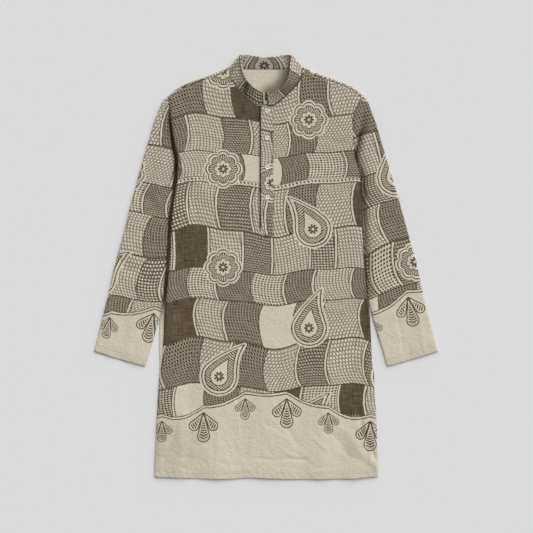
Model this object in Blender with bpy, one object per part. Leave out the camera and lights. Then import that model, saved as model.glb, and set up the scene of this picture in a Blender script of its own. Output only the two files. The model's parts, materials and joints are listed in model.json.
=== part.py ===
"""Kurta tunic laid flat, face up, with both sleeves beside the body.

Tables are in millimetres, +X to the viewer's right, +Y towards the collar, +Z up.
The back lies on the ground at z = 0 and rolls forward over each shoulder to the
shoulder seam. The front lies on it and comes down to it along the side seams, as far
as the side slits. Each sleeve is one flattened tube. A stand collar leans round the
open neck, over a half placket with four buttons and one more at the neck.
Sides are named as the wearer has them, so sleeve_right is on the viewer's left.
"""

import math

import bmesh
import bpy
import numpy as np

MM = 0.001

WALL = 1.4
GAP = 0.3
SEAM_GAP = 0.5
BACK_TOP = 1.5
HEM_BAND = 15.0
CUFF_BAND = 17.0
BAND_RISE = 0.45

EDGE_ROUND = 7.0
SEAM_FOOT = BACK_TOP + GAP
LEVEL = 4.7
LOWEST = 3.6
HIGHEST = 6.6

ROLL_RADIUS = 2.95
SEAM_LEVEL = 2 * ROLL_RADIUS
FORWARD_SEAM = 7.3
# The roll is cut square at the neck over this share of the shoulder.
NECK_END_SHARE = 0.12

# Half shoulder, from the neck to the sleeve head, along the folded edge.
SHOULDER = (
    ("x", "y"),
    (88.6, 480.8),
    (96.0, 477.6),
    (115.2, 468.6),
    (153.6, 454.2),
    (192.0, 439.8),
    (211.2, 430.2),
    (226.0, 418.4),
    (235.6, 409.8),
)

# Outer edge of the front: armhole from the shoulder to the underarm, side seam to the
# slit, then the slit's own edge to the hem. Half widths to the viewer's left and right.
BODY_EDGE = (
    ("y", "left", "right"),
    (409.8, 235.6, 235.6),
    (390.0, 234.4, 220.8),
    (370.0, 232.6, 210.4),
    (345.0, 229.6, 208.6),
    (312.0, 224.4, 209.4),
    (282.0, 217.4, 213.2),
    (257.0, 214.8, 218.4),
    (232.0, 214.8, 225.6),
    (205.0, 216.6, 229.6),
    (160.0, 225.0, 230.8),
    (125.0, 227.9, 231.0),
    (50.0, 230.9, 234.0),
    (-5.0, 235.0, 237.6),
    (-85.0, 242.6, 246.2),
    (-122.0, 244.6, 249.6),
    (-175.0, 246.4, 252.4),
    (-236.0, 251.2, 255.4),
    (-246.0, 254.0, 258.0),
    (-295.0, 258.2, 260.8),
    (-355.0, 261.8, 264.6),
    (-427.0, 265.4, 267.8),
    (-480.0, 267.6, 269.6),
    (-503.0, 267.4, 268.8),
)
UNDERARM_Y = {-1: 257.0, 1: 253.0}
SLIT_TOP_Y = -241.0
SIDE_HEM_Y = -503.0
# How much the back's hem falls short of the front's.
BACK_SHORTER = 1.0

# How far the back's side edge stands out beyond the front's, where its plain side shows.
BACK_STEP = (
    ("y", "left", "right"),
    (409.8, -0.6, -0.6),
    (257.0, -0.6, -0.6),
    (240.0, 1.2, 0.6),
    (205.0, 2.6, 0.8),
    (-60.0, 3.0, 0.9),
    (-90.0, 4.6, 0.6),
    (-122.0, 10.4, -0.4),
    (-175.0, 9.8, -0.6),
    (-215.0, 7.0, -0.6),
    (-240.0, 3.2, -0.6),
    (-262.0, -0.8, -0.8),
    (-503.0, -0.8, -0.8),
)

HEM = (
    ("x", "y"),
    (-270.0, -503.4),
    (-230.0, -505.6),
    (-173.0, -507.6),
    (-96.0, -509.4),
    (-38.0, -506.4),
    (0.0, -508.0),
    (77.0, -509.9),
    (154.0, -509.4),
    (211.0, -508.2),
    (250.0, -504.8),
    (271.0, -502.4),
)

# Sleeve edges, from the shoulder and the underarm down to the cuff. x is the distance
# from the middle of the body.
SLEEVE_OUTER = (
    ("y", "left", "right"),
    (409.8, 236.4, 236.0),
    (401.4, 244.8, 242.4),
    (377.4, 256.8, 252.0),
    (353.4, 266.4, 261.6),
    (305.4, 280.8, 276.0),
    (257.4, 295.2, 290.4),
    (161.4, 321.6, 319.2),
    (65.4, 345.6, 345.6),
    (17.4, 359.0, 359.6),
    (-78.6, 381.6, 381.6),
    (-174.6, 405.6, 406.2),
    (-202.0, 413.0, 413.0),
)
SLEEVE_INNER = (
    ("y", "left", "right"),
    (257.0, 216.0, 218.8),
    (232.0, 217.6, 227.6),
    (205.0, 220.6, 232.4),
    (160.0, 228.6, 233.8),
    (125.0, 232.0, 234.0),
    (50.0, 235.4, 237.0),
    (-5.0, 239.4, 240.4),
    (-78.6, 247.4, 248.0),
    (-121.8, 256.2, 256.4),
    (-157.8, 266.4, 267.0),
    (-198.6, 278.4, 279.6),
    (-238.2, 289.8, 290.4),
)
CUFF_BOW = 1.6
ARMHOLE_GAP = 0.7
SLEEVE_ROUND = 4.0
SLEEVE_LEVEL = 6.0
SLEEVE_HEAD_LEVEL = 3.6
SLEEVE_HEAD_RUN = 12.0
CUFF_LEVEL = 5.0

# Soft folds: from one end to the other, half width of the fold and its height.
# A negative height is a trough.
FRONT_FOLDS = (
    ("x0", "y0", "x1", "y1", "width", "height"),
    (-236.0, -60.0, -214.0, -470.0, 26.0, 0.8),
    (-190.0, -40.0, -176.0, -505.0, 22.0, -0.9),
    (-128.0, -230.0, -120.0, -505.0, 24.0, 0.9),
    (-64.0, -300.0, -60.0, -505.0, 20.0, -0.8),
    (8.0, -260.0, 4.0, -505.0, 22.0, 0.7),
    (78.0, -330.0, 92.0, -505.0, 20.0, -0.7),
    (150.0, -190.0, 128.0, -505.0, 24.0, 0.9),
    (214.0, -130.0, 172.0, -505.0, 20.0, -0.9),
    (246.0, -300.0, 212.0, -505.0, 18.0, 1.1),
    (-196.0, 236.0, -120.0, 150.0, 16.0, 0.9),
    (-190.0, 196.0, -150.0, 40.0, 18.0, -0.8),
    (200.0, 232.0, 130.0, 140.0, 16.0, 0.9),
    (206.0, 190.0, 160.0, 20.0, 18.0, -0.7),
    (-150.0, 420.0, -196.0, 300.0, 18.0, 0.6),
    (150.0, 420.0, 186.0, 300.0, 18.0, 0.6),
    (-70.0, 60.0, -90.0, -180.0, 24.0, 0.6),
    (84.0, 70.0, 96.0, -150.0, 24.0, -0.6),
)
SLEEVE_FOLDS = (
    ("side", "x0", "y0", "x1", "y1", "width", "height"),
    (-1, 232.0, 330.0, 262.0, 210.0, 13.0, 0.7),
    (-1, 300.0, 180.0, 246.0, 120.0, 15.0, -1.2),
    (-1, 262.0, 90.0, 330.0, 40.0, 14.0, 0.6),
    (-1, 344.0, 10.0, 272.0, -40.0, 15.0, -1.1),
    (-1, 272.0, -90.0, 372.0, -110.0, 16.0, 0.6),
    (-1, 330.0, -90.0, 352.0, -215.0, 14.0, -0.8),
    (1, 222.0, 330.0, 262.0, 230.0, 13.0, 0.7),
    (1, 296.0, 200.0, 246.0, 140.0, 15.0, -1.2),
    (1, 258.0, 70.0, 330.0, 30.0, 14.0, 0.6),
    (1, 346.0, -10.0, 266.0, -60.0, 15.0, -1.1),
    (1, 276.0, -110.0, 380.0, -120.0, 16.0, 0.6),
    (1, 340.0, -110.0, 346.0, -215.0, 14.0, -0.8),
)

# Placket: the slot in the front and the two strips that close it.
SLOT_LEFT = -14.2
SLOT_RIGHT = 15.4
SLOT_BOTTOM = 92.0
STRIP_WALL = 1.2
OVER_LEFT = -12.0
OVER_RIGHT = 17.4
OVER_TOP = (384.6, 384.6)
OVER_BOTTOM = 75.5
UNDER_TOP = (388.6, 385.2)

# Stand collar: foot and free edge, from the front middle to the back middle, on the
# viewer's right. Foot heights at the front follow the front panel. On the viewer's left
# the foot is the same, mirrored, and the free edge leans further in: left_x to left_z.
COLLAR_FRONT = (
    ("foot_x", "foot_y", "top_x", "top_y", "top_z", "left_x", "left_y", "left_z"),
    (18.7, 387.5, 13.4, 415.6, 23.6, None, None, None),
    (28.5, 394.4, 19.6, 417.8, 28.0, -20.5, 425.5, 20.8),
    (39.6, 404.3, 27.0, 421.0, 32.0, -27.5, 429.8, 27.0),
    (48.5, 412.5, 34.0, 426.2, 33.4, -34.5, 434.5, 29.4),
    (57.6, 421.3, 41.4, 433.4, 33.6, -41.0, 439.4, 30.9),
    (66.5, 429.6, 48.4, 443.0, 32.2, -46.6, 447.4, 29.3),
    (75.2, 438.6, 53.2, 454.4, 29.4, -51.0, 457.0, 25.4),
    (82.6, 450.0, 56.0, 469.0, 24.4, -55.0, 469.6, 22.7),
    (86.0, 461.4, 57.8, 483.4, 20.0, -57.8, 483.4, 20.0),
    (86.6, 470.0, 59.0, 496.0, 16.6, -59.0, 496.0, 16.6),
)
COLLAR_BACK = (
    ("foot_x", "foot_y", "top_x", "top_y", "top_z"),
    (76.0, 477.2, 51.0, 508.8, 12.6),
    (62.0, 476.4, 41.0, 508.4, 15.2),
    (43.0, 475.4, 29.6, 505.8, 17.8),
    (22.0, 475.1, 15.0, 503.6, 19.8),
    (0.0, 475.0, 0.0, 502.6, 20.6),
)
COLLAR_WALL = 1.8
COLLAR_FOOT_LIFT = 1.0
COLLAR_BACK_FOOT_Z = 0.95
FOLD_FOOT = (85.6, 477.4)
FOLD_TOP = (59.6, 507.9)
FOLD_TOP_Z = 12.2
FOLD_RADIUS = 2.2
FOLD_OUT = (0.75, 0.66)
OVERLAP_END = ((5.8, 385.8), (5.8, 415.2), 22.8)
UNDERLAP = (
    ("foot_x", "foot_y", "foot_z", "top_x", "top_y", "top_z"),
    (-18.7, 389.4, 4.6, -14.6, 422.4, 20.6),
    (-8.0, 390.2, 3.9, -6.4, 418.2, 21.8),
    (3.0, 390.4, 3.5, 3.0, 418.6, 20.8),
    (13.0, 390.4, 3.4, 13.0, 418.6, 20.4),
)
COLLAR_CORNER = 11.0
COLLAR_HEIGHT = 36.0
NECK_CLEARANCE = 1.0
BACK_NECK_END = (84.4, 477.4)

BUTTON_RADIUS = 5.5
BUTTON_HEIGHT = 2.4
BUTTON_HOLE_RADIUS = 0.75
BUTTON_HOLE_SPREAD = 1.35
PLACKET_BUTTONS = (
    ("x", "y"),
    (2.9, 375.2),
    (2.7, 310.2),
    (3.1, 239.8),
    (3.8, 168.0),
)
NECK_BUTTON_ALONG = 0.19
NECK_BUTTON_X = -1.6
NECK_BUTTON_SCALE = 0.82

LINEN = (0.545, 0.492, 0.402)
PRINTED_LINEN = (0.262, 0.214, 0.164)
PEARL = (0.805, 0.761, 0.672)


def rows_of(table):
    """The rows of a table, each as a dict of its named columns."""
    names = table[0]
    return [dict(zip(names, row)) for row in table[1:]]


def column(table, name):
    index = table[0].index(name)
    return np.array([row[index] for row in table[1:]], float)


def catmull_rom(points, per_span=10):
    """Points along a smooth curve through the given points."""
    points = np.asarray(points, float)
    ends = np.vstack([2 * points[0] - points[1], points, 2 * points[-1] - points[-2]])
    steps = np.sqrt(np.linalg.norm(np.diff(ends, axis=0), axis=1))
    knots = np.concatenate([[0.0], np.cumsum(steps)])
    out = []
    for i in range(1, len(ends) - 2):
        t0, t1, t2, t3 = knots[i - 1 : i + 3]
        p0, p1, p2, p3 = ends[i - 1 : i + 3]
        t = np.linspace(t1, t2, per_span, endpoint=False)[:, None]
        a1 = (t1 - t) / (t1 - t0) * p0 + (t - t0) / (t1 - t0) * p1
        a2 = (t2 - t) / (t2 - t1) * p1 + (t - t1) / (t2 - t1) * p2
        a3 = (t3 - t) / (t3 - t2) * p2 + (t - t2) / (t3 - t2) * p3
        b1 = (t2 - t) / (t2 - t0) * a1 + (t - t0) / (t2 - t0) * a2
        b2 = (t3 - t) / (t3 - t1) * a2 + (t - t1) / (t3 - t1) * a3
        out.append((t2 - t) / (t2 - t1) * b1 + (t - t1) / (t2 - t1) * b2)
    return np.vstack(out + [points[-1:]])


def along(curve, fractions):
    """Points of a polyline at fractions of its length."""
    steps = np.linalg.norm(np.diff(curve, axis=0), axis=1)
    reached = np.concatenate([[0.0], np.cumsum(steps)]) / steps.sum()
    return np.stack([np.interp(fractions, reached, axis) for axis in curve.T], axis=-1)


def smooth_value(table, key, name):
    """A function that reads one column of a table smoothly against another."""
    curve = catmull_rom(np.column_stack([column(table, key), column(table, name)]))
    curve = curve[np.argsort(curve[:, 0])]
    return lambda at: np.interp(at, curve[:, 0], curve[:, 1])


def side_name(side):
    return "left" if side < 0 else "right"


BODY_EDGE_X = {side: smooth_value(BODY_EDGE, "y", side_name(side)) for side in (-1, 1)}
HEM_Y = smooth_value(HEM, "x", "y")
SHOULDER_LINE = catmull_rom(np.column_stack([column(SHOULDER, "x"), column(SHOULDER, "y")]))


def body_edge(side, y):
    return side * BODY_EDGE_X[side](y)


def shoulder_point(fraction):
    """Fold of the shoulder, at a fraction of the way from the neck to the sleeve."""
    return along(SHOULDER_LINE, fraction)


def shoulder_seam(fraction):
    """Forward shoulder seam, in front of the fold and ending on the armhole edge."""
    fraction = np.atleast_1d(fraction)
    ahead = along(SHOULDER_LINE, np.minimum(fraction + 0.01, 1.0))
    behind = along(SHOULDER_LINE, np.maximum(fraction - 0.01, 0.0))
    run = ahead - behind
    run /= np.linalg.norm(run, axis=1)[:, None]
    square_end = np.clip(fraction / NECK_END_SHARE, 0.0, 1.0)
    inward = np.column_stack([run[:, 1] * square_end, -run[:, 0]])
    inward /= np.linalg.norm(inward, axis=1)[:, None]
    return along(SHOULDER_LINE, fraction) + FORWARD_SEAM * inward


def seam_at(side, fractions):
    """Shoulder seam of one side, its last point moved onto the armhole edge."""
    points = shoulder_seam(fractions)
    points[:, 0] *= side
    end_y = points[-1, 1]
    shift = body_edge(side, end_y) - points[-1, 0]
    nearness = np.clip((np.asarray(fractions) - 0.8) / 0.2, 0.0, 1.0) ** 2
    points[:, 0] += shift * nearness
    return points


def fold_height(x, y, folds):
    """Sum of the soft ridges and troughs at a point."""
    total = np.zeros(np.broadcast(x, y).shape)
    for fold in folds:
        run = np.array([fold["x1"] - fold["x0"], fold["y1"] - fold["y0"]])
        length = np.hypot(*run)
        run /= length
        reach = (x - fold["x0"]) * run[0] + (y - fold["y0"]) * run[1]
        aside = (y - fold["y0"]) * run[0] - (x - fold["x0"]) * run[1]
        beyond = np.maximum(np.maximum(-reach, reach - length), 0.0)
        spread = (aside / fold["width"]) ** 2 + (beyond / (2 * fold["width"])) ** 2
        total += fold["height"] * np.exp(-spread)
    return total


def front_height(x, y):
    """Top of the front panel above the ground, without its rounded side edges."""
    x = np.asarray(x, float)
    y = np.asarray(y, float)
    half = np.where(x < 0, BODY_EDGE_X[-1](y), BODY_EDGE_X[1](y))
    from_edge = np.maximum(half - np.abs(x), 0.0)
    fullness = 0.6 + 0.7 / (1 + np.exp((-250.0 - y) / 40.0))
    height = LEVEL + fullness * np.exp(-((from_edge / 40.0) ** 2))
    height = height + fold_height(x, y, rows_of(FRONT_FOLDS))
    height = np.clip(height, LOWEST, HIGHEST)
    seam_y = np.interp(np.abs(x), SHOULDER_LINE[:, 0], SHOULDER_LINE[:, 1]) - FORWARD_SEAM
    near_seam = np.exp(-((np.maximum(seam_y - y, 0.0) / 22.0) ** 2))
    near_neck = np.exp(-((np.maximum(np.hypot(x, y - 445.0) - 80.0, 0.0) / 30.0) ** 2))
    settled = np.maximum(near_seam, near_neck * 0.98)
    return height + (SEAM_LEVEL - height) * settled


def sheet_mesh(name, patches):
    """One closed solid from patches of a wall, each an outer and an inner grid of points.

    Patches meet where their outer points coincide, and a rim closes every open edge.
    """
    index = {}
    outer = []
    inner = []
    faces = []
    for out_grid, in_grid in patches:
        rows, cols = out_grid.shape[:2]
        ids = np.empty((rows, cols), int)
        for i in range(rows):
            for j in range(cols):
                key = tuple(np.round(out_grid[i, j] * 200).astype(int))
                if key not in index:
                    index[key] = len(outer)
                    outer.append(out_grid[i, j])
                    inner.append(in_grid[i, j])
                ids[i, j] = index[key]
        for i in range(rows - 1):
            for j in range(cols - 1):
                quad = [ids[i, j], ids[i, j + 1], ids[i + 1, j + 1], ids[i + 1, j]]
                faces.append(list(dict.fromkeys(quad)))
    count = len(outer)
    uses = {}
    for face in faces:
        for a, b in zip(face, face[1:] + face[:1]):
            uses.setdefault(frozenset((a, b)), []).append((a, b))
    rim = [found[0] for found in uses.values() if len(found) == 1]
    inside = [[v + count for v in reversed(face)] for face in faces]
    rim_faces = [[b, a, a + count, b + count] for a, b in rim]
    mesh = bpy.data.meshes.new(name)
    points = np.vstack([outer, inner]) * MM
    mesh.from_pydata(points.tolist(), [], faces + inside + rim_faces)
    return mesh


def finished(name, mesh, colour, roughness, sharp_angle=40.0):
    """The named object of a mesh, facing outward, smooth, with a material of its own."""
    work = bmesh.new()
    work.from_mesh(mesh)
    bmesh.ops.recalc_face_normals(work, faces=work.faces)
    if work.calc_volume(signed=True) < 0:
        bmesh.ops.reverse_faces(work, faces=work.faces)
    work.to_mesh(mesh)
    work.free()
    mesh.shade_smooth()
    mesh.set_sharp_from_angle(angle=math.radians(sharp_angle))
    material = bpy.data.materials.new(name)
    material.use_nodes = True
    shader = material.node_tree.nodes["Principled BSDF"]
    shader.inputs["Base Color"].default_value = (*colour, 1.0)
    shader.inputs["Roughness"].default_value = roughness
    shader.inputs["Metallic"].default_value = 0.0
    mesh.materials.append(material)
    made = bpy.data.objects.new(name, mesh)
    bpy.context.scene.collection.objects.link(made)
    return made


def coons(west, east, south, north, u, v):
    """Grid between four edges: west and east along v, south and north along u."""
    u = u[None, :, None] if u.ndim == 1 else u[:, :, None]
    v = v[:, None, None]
    corners = (
        (1 - u) * (1 - v) * west[0]
        + u * (1 - v) * east[0]
        + (1 - u) * v * west[-1]
        + u * v * east[-1]
    )
    sides = (1 - u) * west[:, None, :] + u * east[:, None, :]
    ends = (1 - v) * south[None, :, :] + v * north[None, :, :]
    return sides + ends - corners


def spread(*stops):
    """Numbers through the stops, given as first, then (steps, next) pairs."""
    values = [stops[0]]
    for steps, following in stops[1:]:
        values += list(np.linspace(values[-1], following, steps + 1)[1:])
    return np.array(values)


def neck_edge():
    """Edge of the front panel round the neck, from the slot to the shoulder seam."""
    foot = np.column_stack([column(COLLAR_FRONT, "foot_x"), column(COLLAR_FRONT, "foot_y")])
    run = np.gradient(foot, axis=0)
    run /= np.linalg.norm(run, axis=1)[:, None]
    outward = np.column_stack([run[:, 1], -run[:, 0]])
    edge = foot + NECK_CLEARANCE * outward
    last = shoulder_seam([0.0])[0]
    return catmull_rom(np.vstack([edge, last]))


# Rows of the body, by height of the middle edge and of the side edge.
LOWER_ROWS = spread(HEM_BAND, (1, HEM_BAND + 1.6))
MIDDLE_ROWS = spread(-470.0, (6, SLIT_TOP_Y), (8, SLOT_BOTTOM), (2, 150.0))
PLACKET_ROWS = 6
NECK_SHARES = spread(0.0, (4, 0.28), (5, 1.0))
SIDE_AT_NECK_FOOT = 322.0
EDGE_STEPS = np.radians(spread(90.0, (4, 0.0)))
INNER_COLUMNS = 9


def side_rows(side, slot_x):
    """Middle and side edge points of a half front, from the hem to the shoulder."""
    edge_top = seam_at(side, spread(0.0, (10, 1.0)))[-1, 1]
    side_bottom = HEM_Y(body_edge(side, SIDE_HEM_Y))
    middle_bottom = HEM_Y(slot_x)
    neck = along(neck_edge(), NECK_SHARES)
    foot_y = neck[0, 1]
    middle = [middle_bottom, *(middle_bottom + LOWER_ROWS), *MIDDLE_ROWS]
    middle += list(spread(150.0, (PLACKET_ROWS, foot_y))[1:])
    outer = [side_bottom, *(side_bottom + LOWER_ROWS), *MIDDLE_ROWS]
    outer += list(spread(150.0, (PLACKET_ROWS, SIDE_AT_NECK_FOOT))[1:])
    outer += list((SIDE_AT_NECK_FOOT + NECK_SHARES * (edge_top - SIDE_AT_NECK_FOOT))[1:])
    west = [(slot_x, y) for y in middle]
    west += [(side * x, y) for x, y in neck[1:]]
    east = [(body_edge(side, y), y) for y in outer]
    return np.array(west), np.array(east)


def front_half(side, slot_x):
    """Outer and inner grids of the front between the slot's edge and the side edge."""
    west, east = side_rows(side, slot_x)
    run = np.concatenate([[0.0], np.cumsum(np.linalg.norm(np.diff(west, axis=0), axis=1))])
    v = run / run[-1]
    width = np.linalg.norm(east - west, axis=1)
    grids = []
    for wall in (0.0, WALL):
        inset = wall + (EDGE_ROUND - wall) * (1 - np.cos(EDGE_STEPS))
        plain = spread(0.0, (INNER_COLUMNS, 1.0))[:-1]
        start = 1 - EDGE_ROUND / width
        u = np.hstack([plain[None, :] * start[:, None], 1 - inset[None, :] / width[:, None]])
        seam = seam_at(side, np.linspace(0, 1, 41))
        south = np.column_stack([u[0] * (east[0, 0] - west[0, 0]) + west[0, 0], np.zeros(u.shape[1])])
        south[:, 1] = HEM_Y(south[:, 0])
        north = along(seam, u[-1])
        grid = coons(west, east, south, north, u, v)
        grids.append(front_walls(grid, wall))
    return grids


def front_walls(grid, wall):
    """Heights for a plan grid whose last columns are the rounded side edge."""
    x, y = grid[..., 0], grid[..., 1]
    top = front_height(x, y)
    rise = np.concatenate([np.ones(INNER_COLUMNS), np.sin(EDGE_STEPS)])
    on_band = np.zeros(len(grid))
    on_band[:2] = 1.0
    top = top + BAND_RISE * on_band[:, None] * (wall == 0.0)
    z = SEAM_FOOT + (top - wall - SEAM_FOOT) * rise[None, :]
    return np.dstack([x, y, z])


def make_front():
    left = front_half(-1, SLOT_LEFT)
    right = front_half(1, SLOT_RIGHT)
    rows = 1 + len(LOWER_ROWS) + int(np.argmin(np.abs(MIDDLE_ROWS - SLOT_BOTTOM))) + 1
    strips = []
    for k, wall in enumerate((0.0, WALL)):
        west = left[k][:rows, 0, :2]
        east = right[k][:rows, 0, :2]
        u = spread(0.0, (2, 1.0))
        grid = west[:, None, :] + u[None, :, None] * (east - west)[:, None, :]
        fade = np.linspace(1.0, 0.0, rows) ** 4
        grid[:, 1, 1] += fade * (HEM_Y(grid[0, 1, 0]) - grid[0, 1, 1])
        top = front_height(grid[..., 0], grid[..., 1]) - wall
        top[:2] += BAND_RISE * (wall == 0.0)
        strips.append(np.dstack([grid, top]))
    mesh = sheet_mesh("front_panel", [left, right, strips])
    return finished("front_panel", mesh, PRINTED_LINEN, 0.9)


BACK_ROWS = spread(-470.0, (3, -262.0), (1, SLIT_TOP_Y), (4, -60.0), (2, 160.0), (3, 257.0))
BACK_COLUMNS = 4
SHOULDER_STEPS = spread(0.0, (10, 1.0))


def back_edge(side, y):
    step = smooth_value(BACK_STEP, "y", side_name(side))
    return side * (BODY_EDGE_X[side](y) + step(y))


def back_half(side):
    """Flat part of the back, from its middle line to one side."""
    neck = np.column_stack([column(COLLAR_BACK, "foot_x"), column(COLLAR_BACK, "foot_y")])[::-1]
    neck = catmull_rom(np.vstack([neck, BACK_NECK_END]))
    neck[:, 1] -= NECK_CLEARANCE
    shoulder = shoulder_point(SHOULDER_STEPS)
    ahead = shoulder_seam(SHOULDER_STEPS)
    inward = (ahead - shoulder) / FORWARD_SEAM
    turn = shoulder + ROLL_RADIUS * inward
    top = np.vstack([along(neck, spread(0.0, (BACK_COLUMNS, 1.0))), turn])
    top[:, 0] *= side
    top_side_y = top[-1, 1]
    side_y = np.concatenate([[HEM_Y(body_edge(side, SIDE_HEM_Y)) + BACK_SHORTER], BACK_ROWS])
    side_y = np.concatenate([side_y, spread(257.0, (4, top_side_y))[1:]])
    middle_y = np.concatenate([[HEM_Y(0.0) + BACK_SHORTER], BACK_ROWS, spread(257.0, (4, top[0, 1]))[1:]])
    east = np.array([(back_edge(side, y), y) for y in side_y])
    east[-1] = top[-1]
    west = np.array([(0.0, y) for y in middle_y])
    u = np.abs(top[:, 0]) / abs(top[-1, 0])
    south = np.column_stack([u * east[0, 0], HEM_Y(u * east[0, 0]) + BACK_SHORTER])
    v = (middle_y - middle_y[0]) / (middle_y[-1] - middle_y[0])
    plan = coons(west, east, south, top, u, v)
    under = np.dstack([plan, np.zeros(plan.shape[:2])])
    over = np.dstack([plan, np.full(plan.shape[:2], BACK_TOP)])
    return under, over


def shoulder_roll(side, turn):
    """The back's stretch over the shoulder fold, as far as the forward seam."""
    fold = shoulder_point(SHOULDER_STEPS)
    seam = seam_at(side, SHOULDER_STEPS)
    fold[:, 0] *= side
    inward = seam - fold
    reach = np.linalg.norm(inward, axis=1)
    inward /= reach[:, None]
    angles = np.radians(spread(-90.0, (6, 90.0)))
    layers = []
    for radius in (ROLL_RADIUS, ROLL_RADIUS - BACK_TOP):
        rows = []
        for angle in angles:
            inset = ROLL_RADIUS - radius * math.cos(angle)
            height = ROLL_RADIUS + radius * math.sin(angle)
            plan = fold + inset * inward
            rows.append(np.column_stack([plan, np.full(len(plan), height)]))
        last = fold + (reach - SEAM_GAP)[:, None] * inward
        rows.append(np.column_stack([last, np.full(len(last), ROLL_RADIUS + radius)]))
        layers.append(np.array(rows))
    layers[0][0] = turn[0]
    layers[1][0] = turn[1]
    return layers


def make_back():
    patches = []
    for side in (-1, 1):
        under, over = back_half(side)
        patches.append([under, over])
        start = BACK_COLUMNS + 1
        turn = (under[-1, start:], over[-1, start:])
        patches.append(shoulder_roll(side, turn))
    mesh = sheet_mesh("back_panel", patches)
    return finished("back_panel", mesh, LINEN, 0.9)


# Mean length from armhole to cuff, which sets how far apart the rows lie.
SLEEVE_LENGTH = 560.0
SLEEVE_ROWS = np.concatenate(
    [
        np.array([0.0, 3.0, 7.0, 13.0]) / SLEEVE_LENGTH,
        spread(0.05, (15, 1.0 - (CUFF_BAND + 2.0) / SLEEVE_LENGTH)),
        np.array([1.0 - CUFF_BAND / SLEEVE_LENGTH, 1.0]),
    ]
)
SLEEVE_ARC = np.radians(spread(-90.0, (6, 90.0)))
SLEEVE_TOP_COLUMNS = 10
SLEEVE_UNDER_COLUMNS = 4


def sleeve_edges(side):
    """The four edges of a sleeve in plan, each by arc length."""
    name = side_name(side)
    outer = np.column_stack([side * column(SLEEVE_OUTER, name), column(SLEEVE_OUTER, "y")])
    inner = np.column_stack([side * column(SLEEVE_INNER, name), column(SLEEVE_INNER, "y")])
    arm_y = np.linspace(409.0, UNDERARM_Y[side], 30)
    armhole = np.column_stack([body_edge(side, arm_y) + side * ARMHOLE_GAP, arm_y])
    outer = catmull_rom(np.vstack([armhole[:1], outer[1:]]))
    inner = catmull_rom(np.vstack([armhole[-1:], inner[1:]]))
    cuff_u = np.linspace(0.0, 1.0, 9)
    cuff = outer[-1] + cuff_u[:, None] * (inner[-1] - outer[-1])
    cuff[:, 1] -= CUFF_BOW * np.sin(math.pi * cuff_u)
    return outer, inner, armhole, cuff


def sleeve_height(side, x, y, v):
    """Top of the sleeve: low where it meets the armhole, full below, flatter at the cuff."""
    folds = [fold for fold in rows_of(SLEEVE_FOLDS) if fold["side"] == side]
    height = SLEEVE_LEVEL + fold_height(np.abs(x), y, folds)
    height = height + (CUFF_LEVEL - SLEEVE_LEVEL) * np.clip((v - 0.55) / 0.45, 0.0, 1.0)
    height = np.clip(height, LOWEST + 0.4, HIGHEST)
    head = np.clip(1 - v * SLEEVE_LENGTH / SLEEVE_HEAD_RUN, 0.0, 1.0) ** 2
    return height + (SLEEVE_HEAD_LEVEL - height) * head


def make_sleeve(side):
    outer, inner, armhole, cuff = sleeve_edges(side)
    v = SLEEVE_ROWS
    west = along(outer, v)
    east = along(inner, v)
    width = np.linalg.norm(east - west, axis=1)
    grids = []
    for wall in (0.0, WALL):
        inset = wall + (SLEEVE_ROUND - wall) * (1 - np.cos(SLEEVE_ARC))
        start = SLEEVE_ROUND / width
        over_steps = spread(0.0, (SLEEVE_TOP_COLUMNS, 1.0))[1:-1]
        under_steps = spread(0.0, (SLEEVE_UNDER_COLUMNS, 1.0))[1:-1]
        span = 1 - 2 * start
        over = start[:, None] + over_steps[None, :] * span[:, None]
        under = 1 - start[:, None] - under_steps[None, :] * span[:, None]
        rise = inset[None, :] / width[:, None]
        u = np.hstack([rise, over, 1 - rise[:, ::-1], under, rise[:, :1]])
        south = along(armhole, np.clip(u[0], 0.0, 1.0))
        north = along(cuff, np.clip(u[-1], 0.0, 1.0))
        plan = coons(west, east, south, north, u, v)
        x, y = plan[..., 0], plan[..., 1]
        top = sleeve_height(side, x, y, v[:, None])
        on_cuff = (v > 1.0 - (CUFF_BAND + 1.0) / SLEEVE_LENGTH) * BAND_RISE * (wall == 0.0)
        top = top + on_cuff[:, None]
        arc = (1 + np.sin(SLEEVE_ARC)) / 2
        share = np.concatenate(
            [arc, np.ones(len(over_steps)), arc[::-1], np.zeros(len(under_steps)), [0.0]]
        )
        z = wall + (top - 2 * wall) * share[None, :]
        grids.append(np.dstack([x, y, z]))
    grids = [closed_ring(grid) for grid in grids]
    name = "sleeve_left" if side > 0 else "sleeve_right"
    return finished(name, sheet_mesh(name, [grids]), PRINTED_LINEN, 0.9)


def closed_ring(grid):
    """The last column of a tube repeats its first."""
    grid[:, -1] = grid[:, 0]
    return grid


def strip(name, left, right, bottom, top, lift, columns, rows, colour):
    """A placket strip that follows the front panel, with its underside lifted above it."""
    grid_x, share = np.meshgrid(spread(left, (columns, right)), spread(0.0, (rows, 1.0)))
    top_y = np.interp(grid_x, (left, right), top)
    grid_y = bottom + share * (top_y - bottom)
    under = front_height(grid_x, grid_y) + lift
    outer = np.dstack([grid_x, grid_y, under + STRIP_WALL])
    inner = np.dstack([grid_x, grid_y, under])
    return finished(name, sheet_mesh(name, [[outer, inner]]), colour, 0.9)


def make_placket():
    made = [
        strip(
            "placket_under",
            SLOT_LEFT + GAP,
            SLOT_RIGHT - GAP,
            SLOT_BOTTOM + GAP,
            UNDER_TOP,
            -STRIP_WALL - 0.1,
            3,
            14,
            PRINTED_LINEN,
        )
    ]
    made.append(
        strip(
            "placket_over",
            OVER_LEFT,
            OVER_RIGHT,
            OVER_BOTTOM,
            OVER_TOP,
            GAP,
            4,
            16,
            PRINTED_LINEN,
        )
    )
    return made


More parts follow.
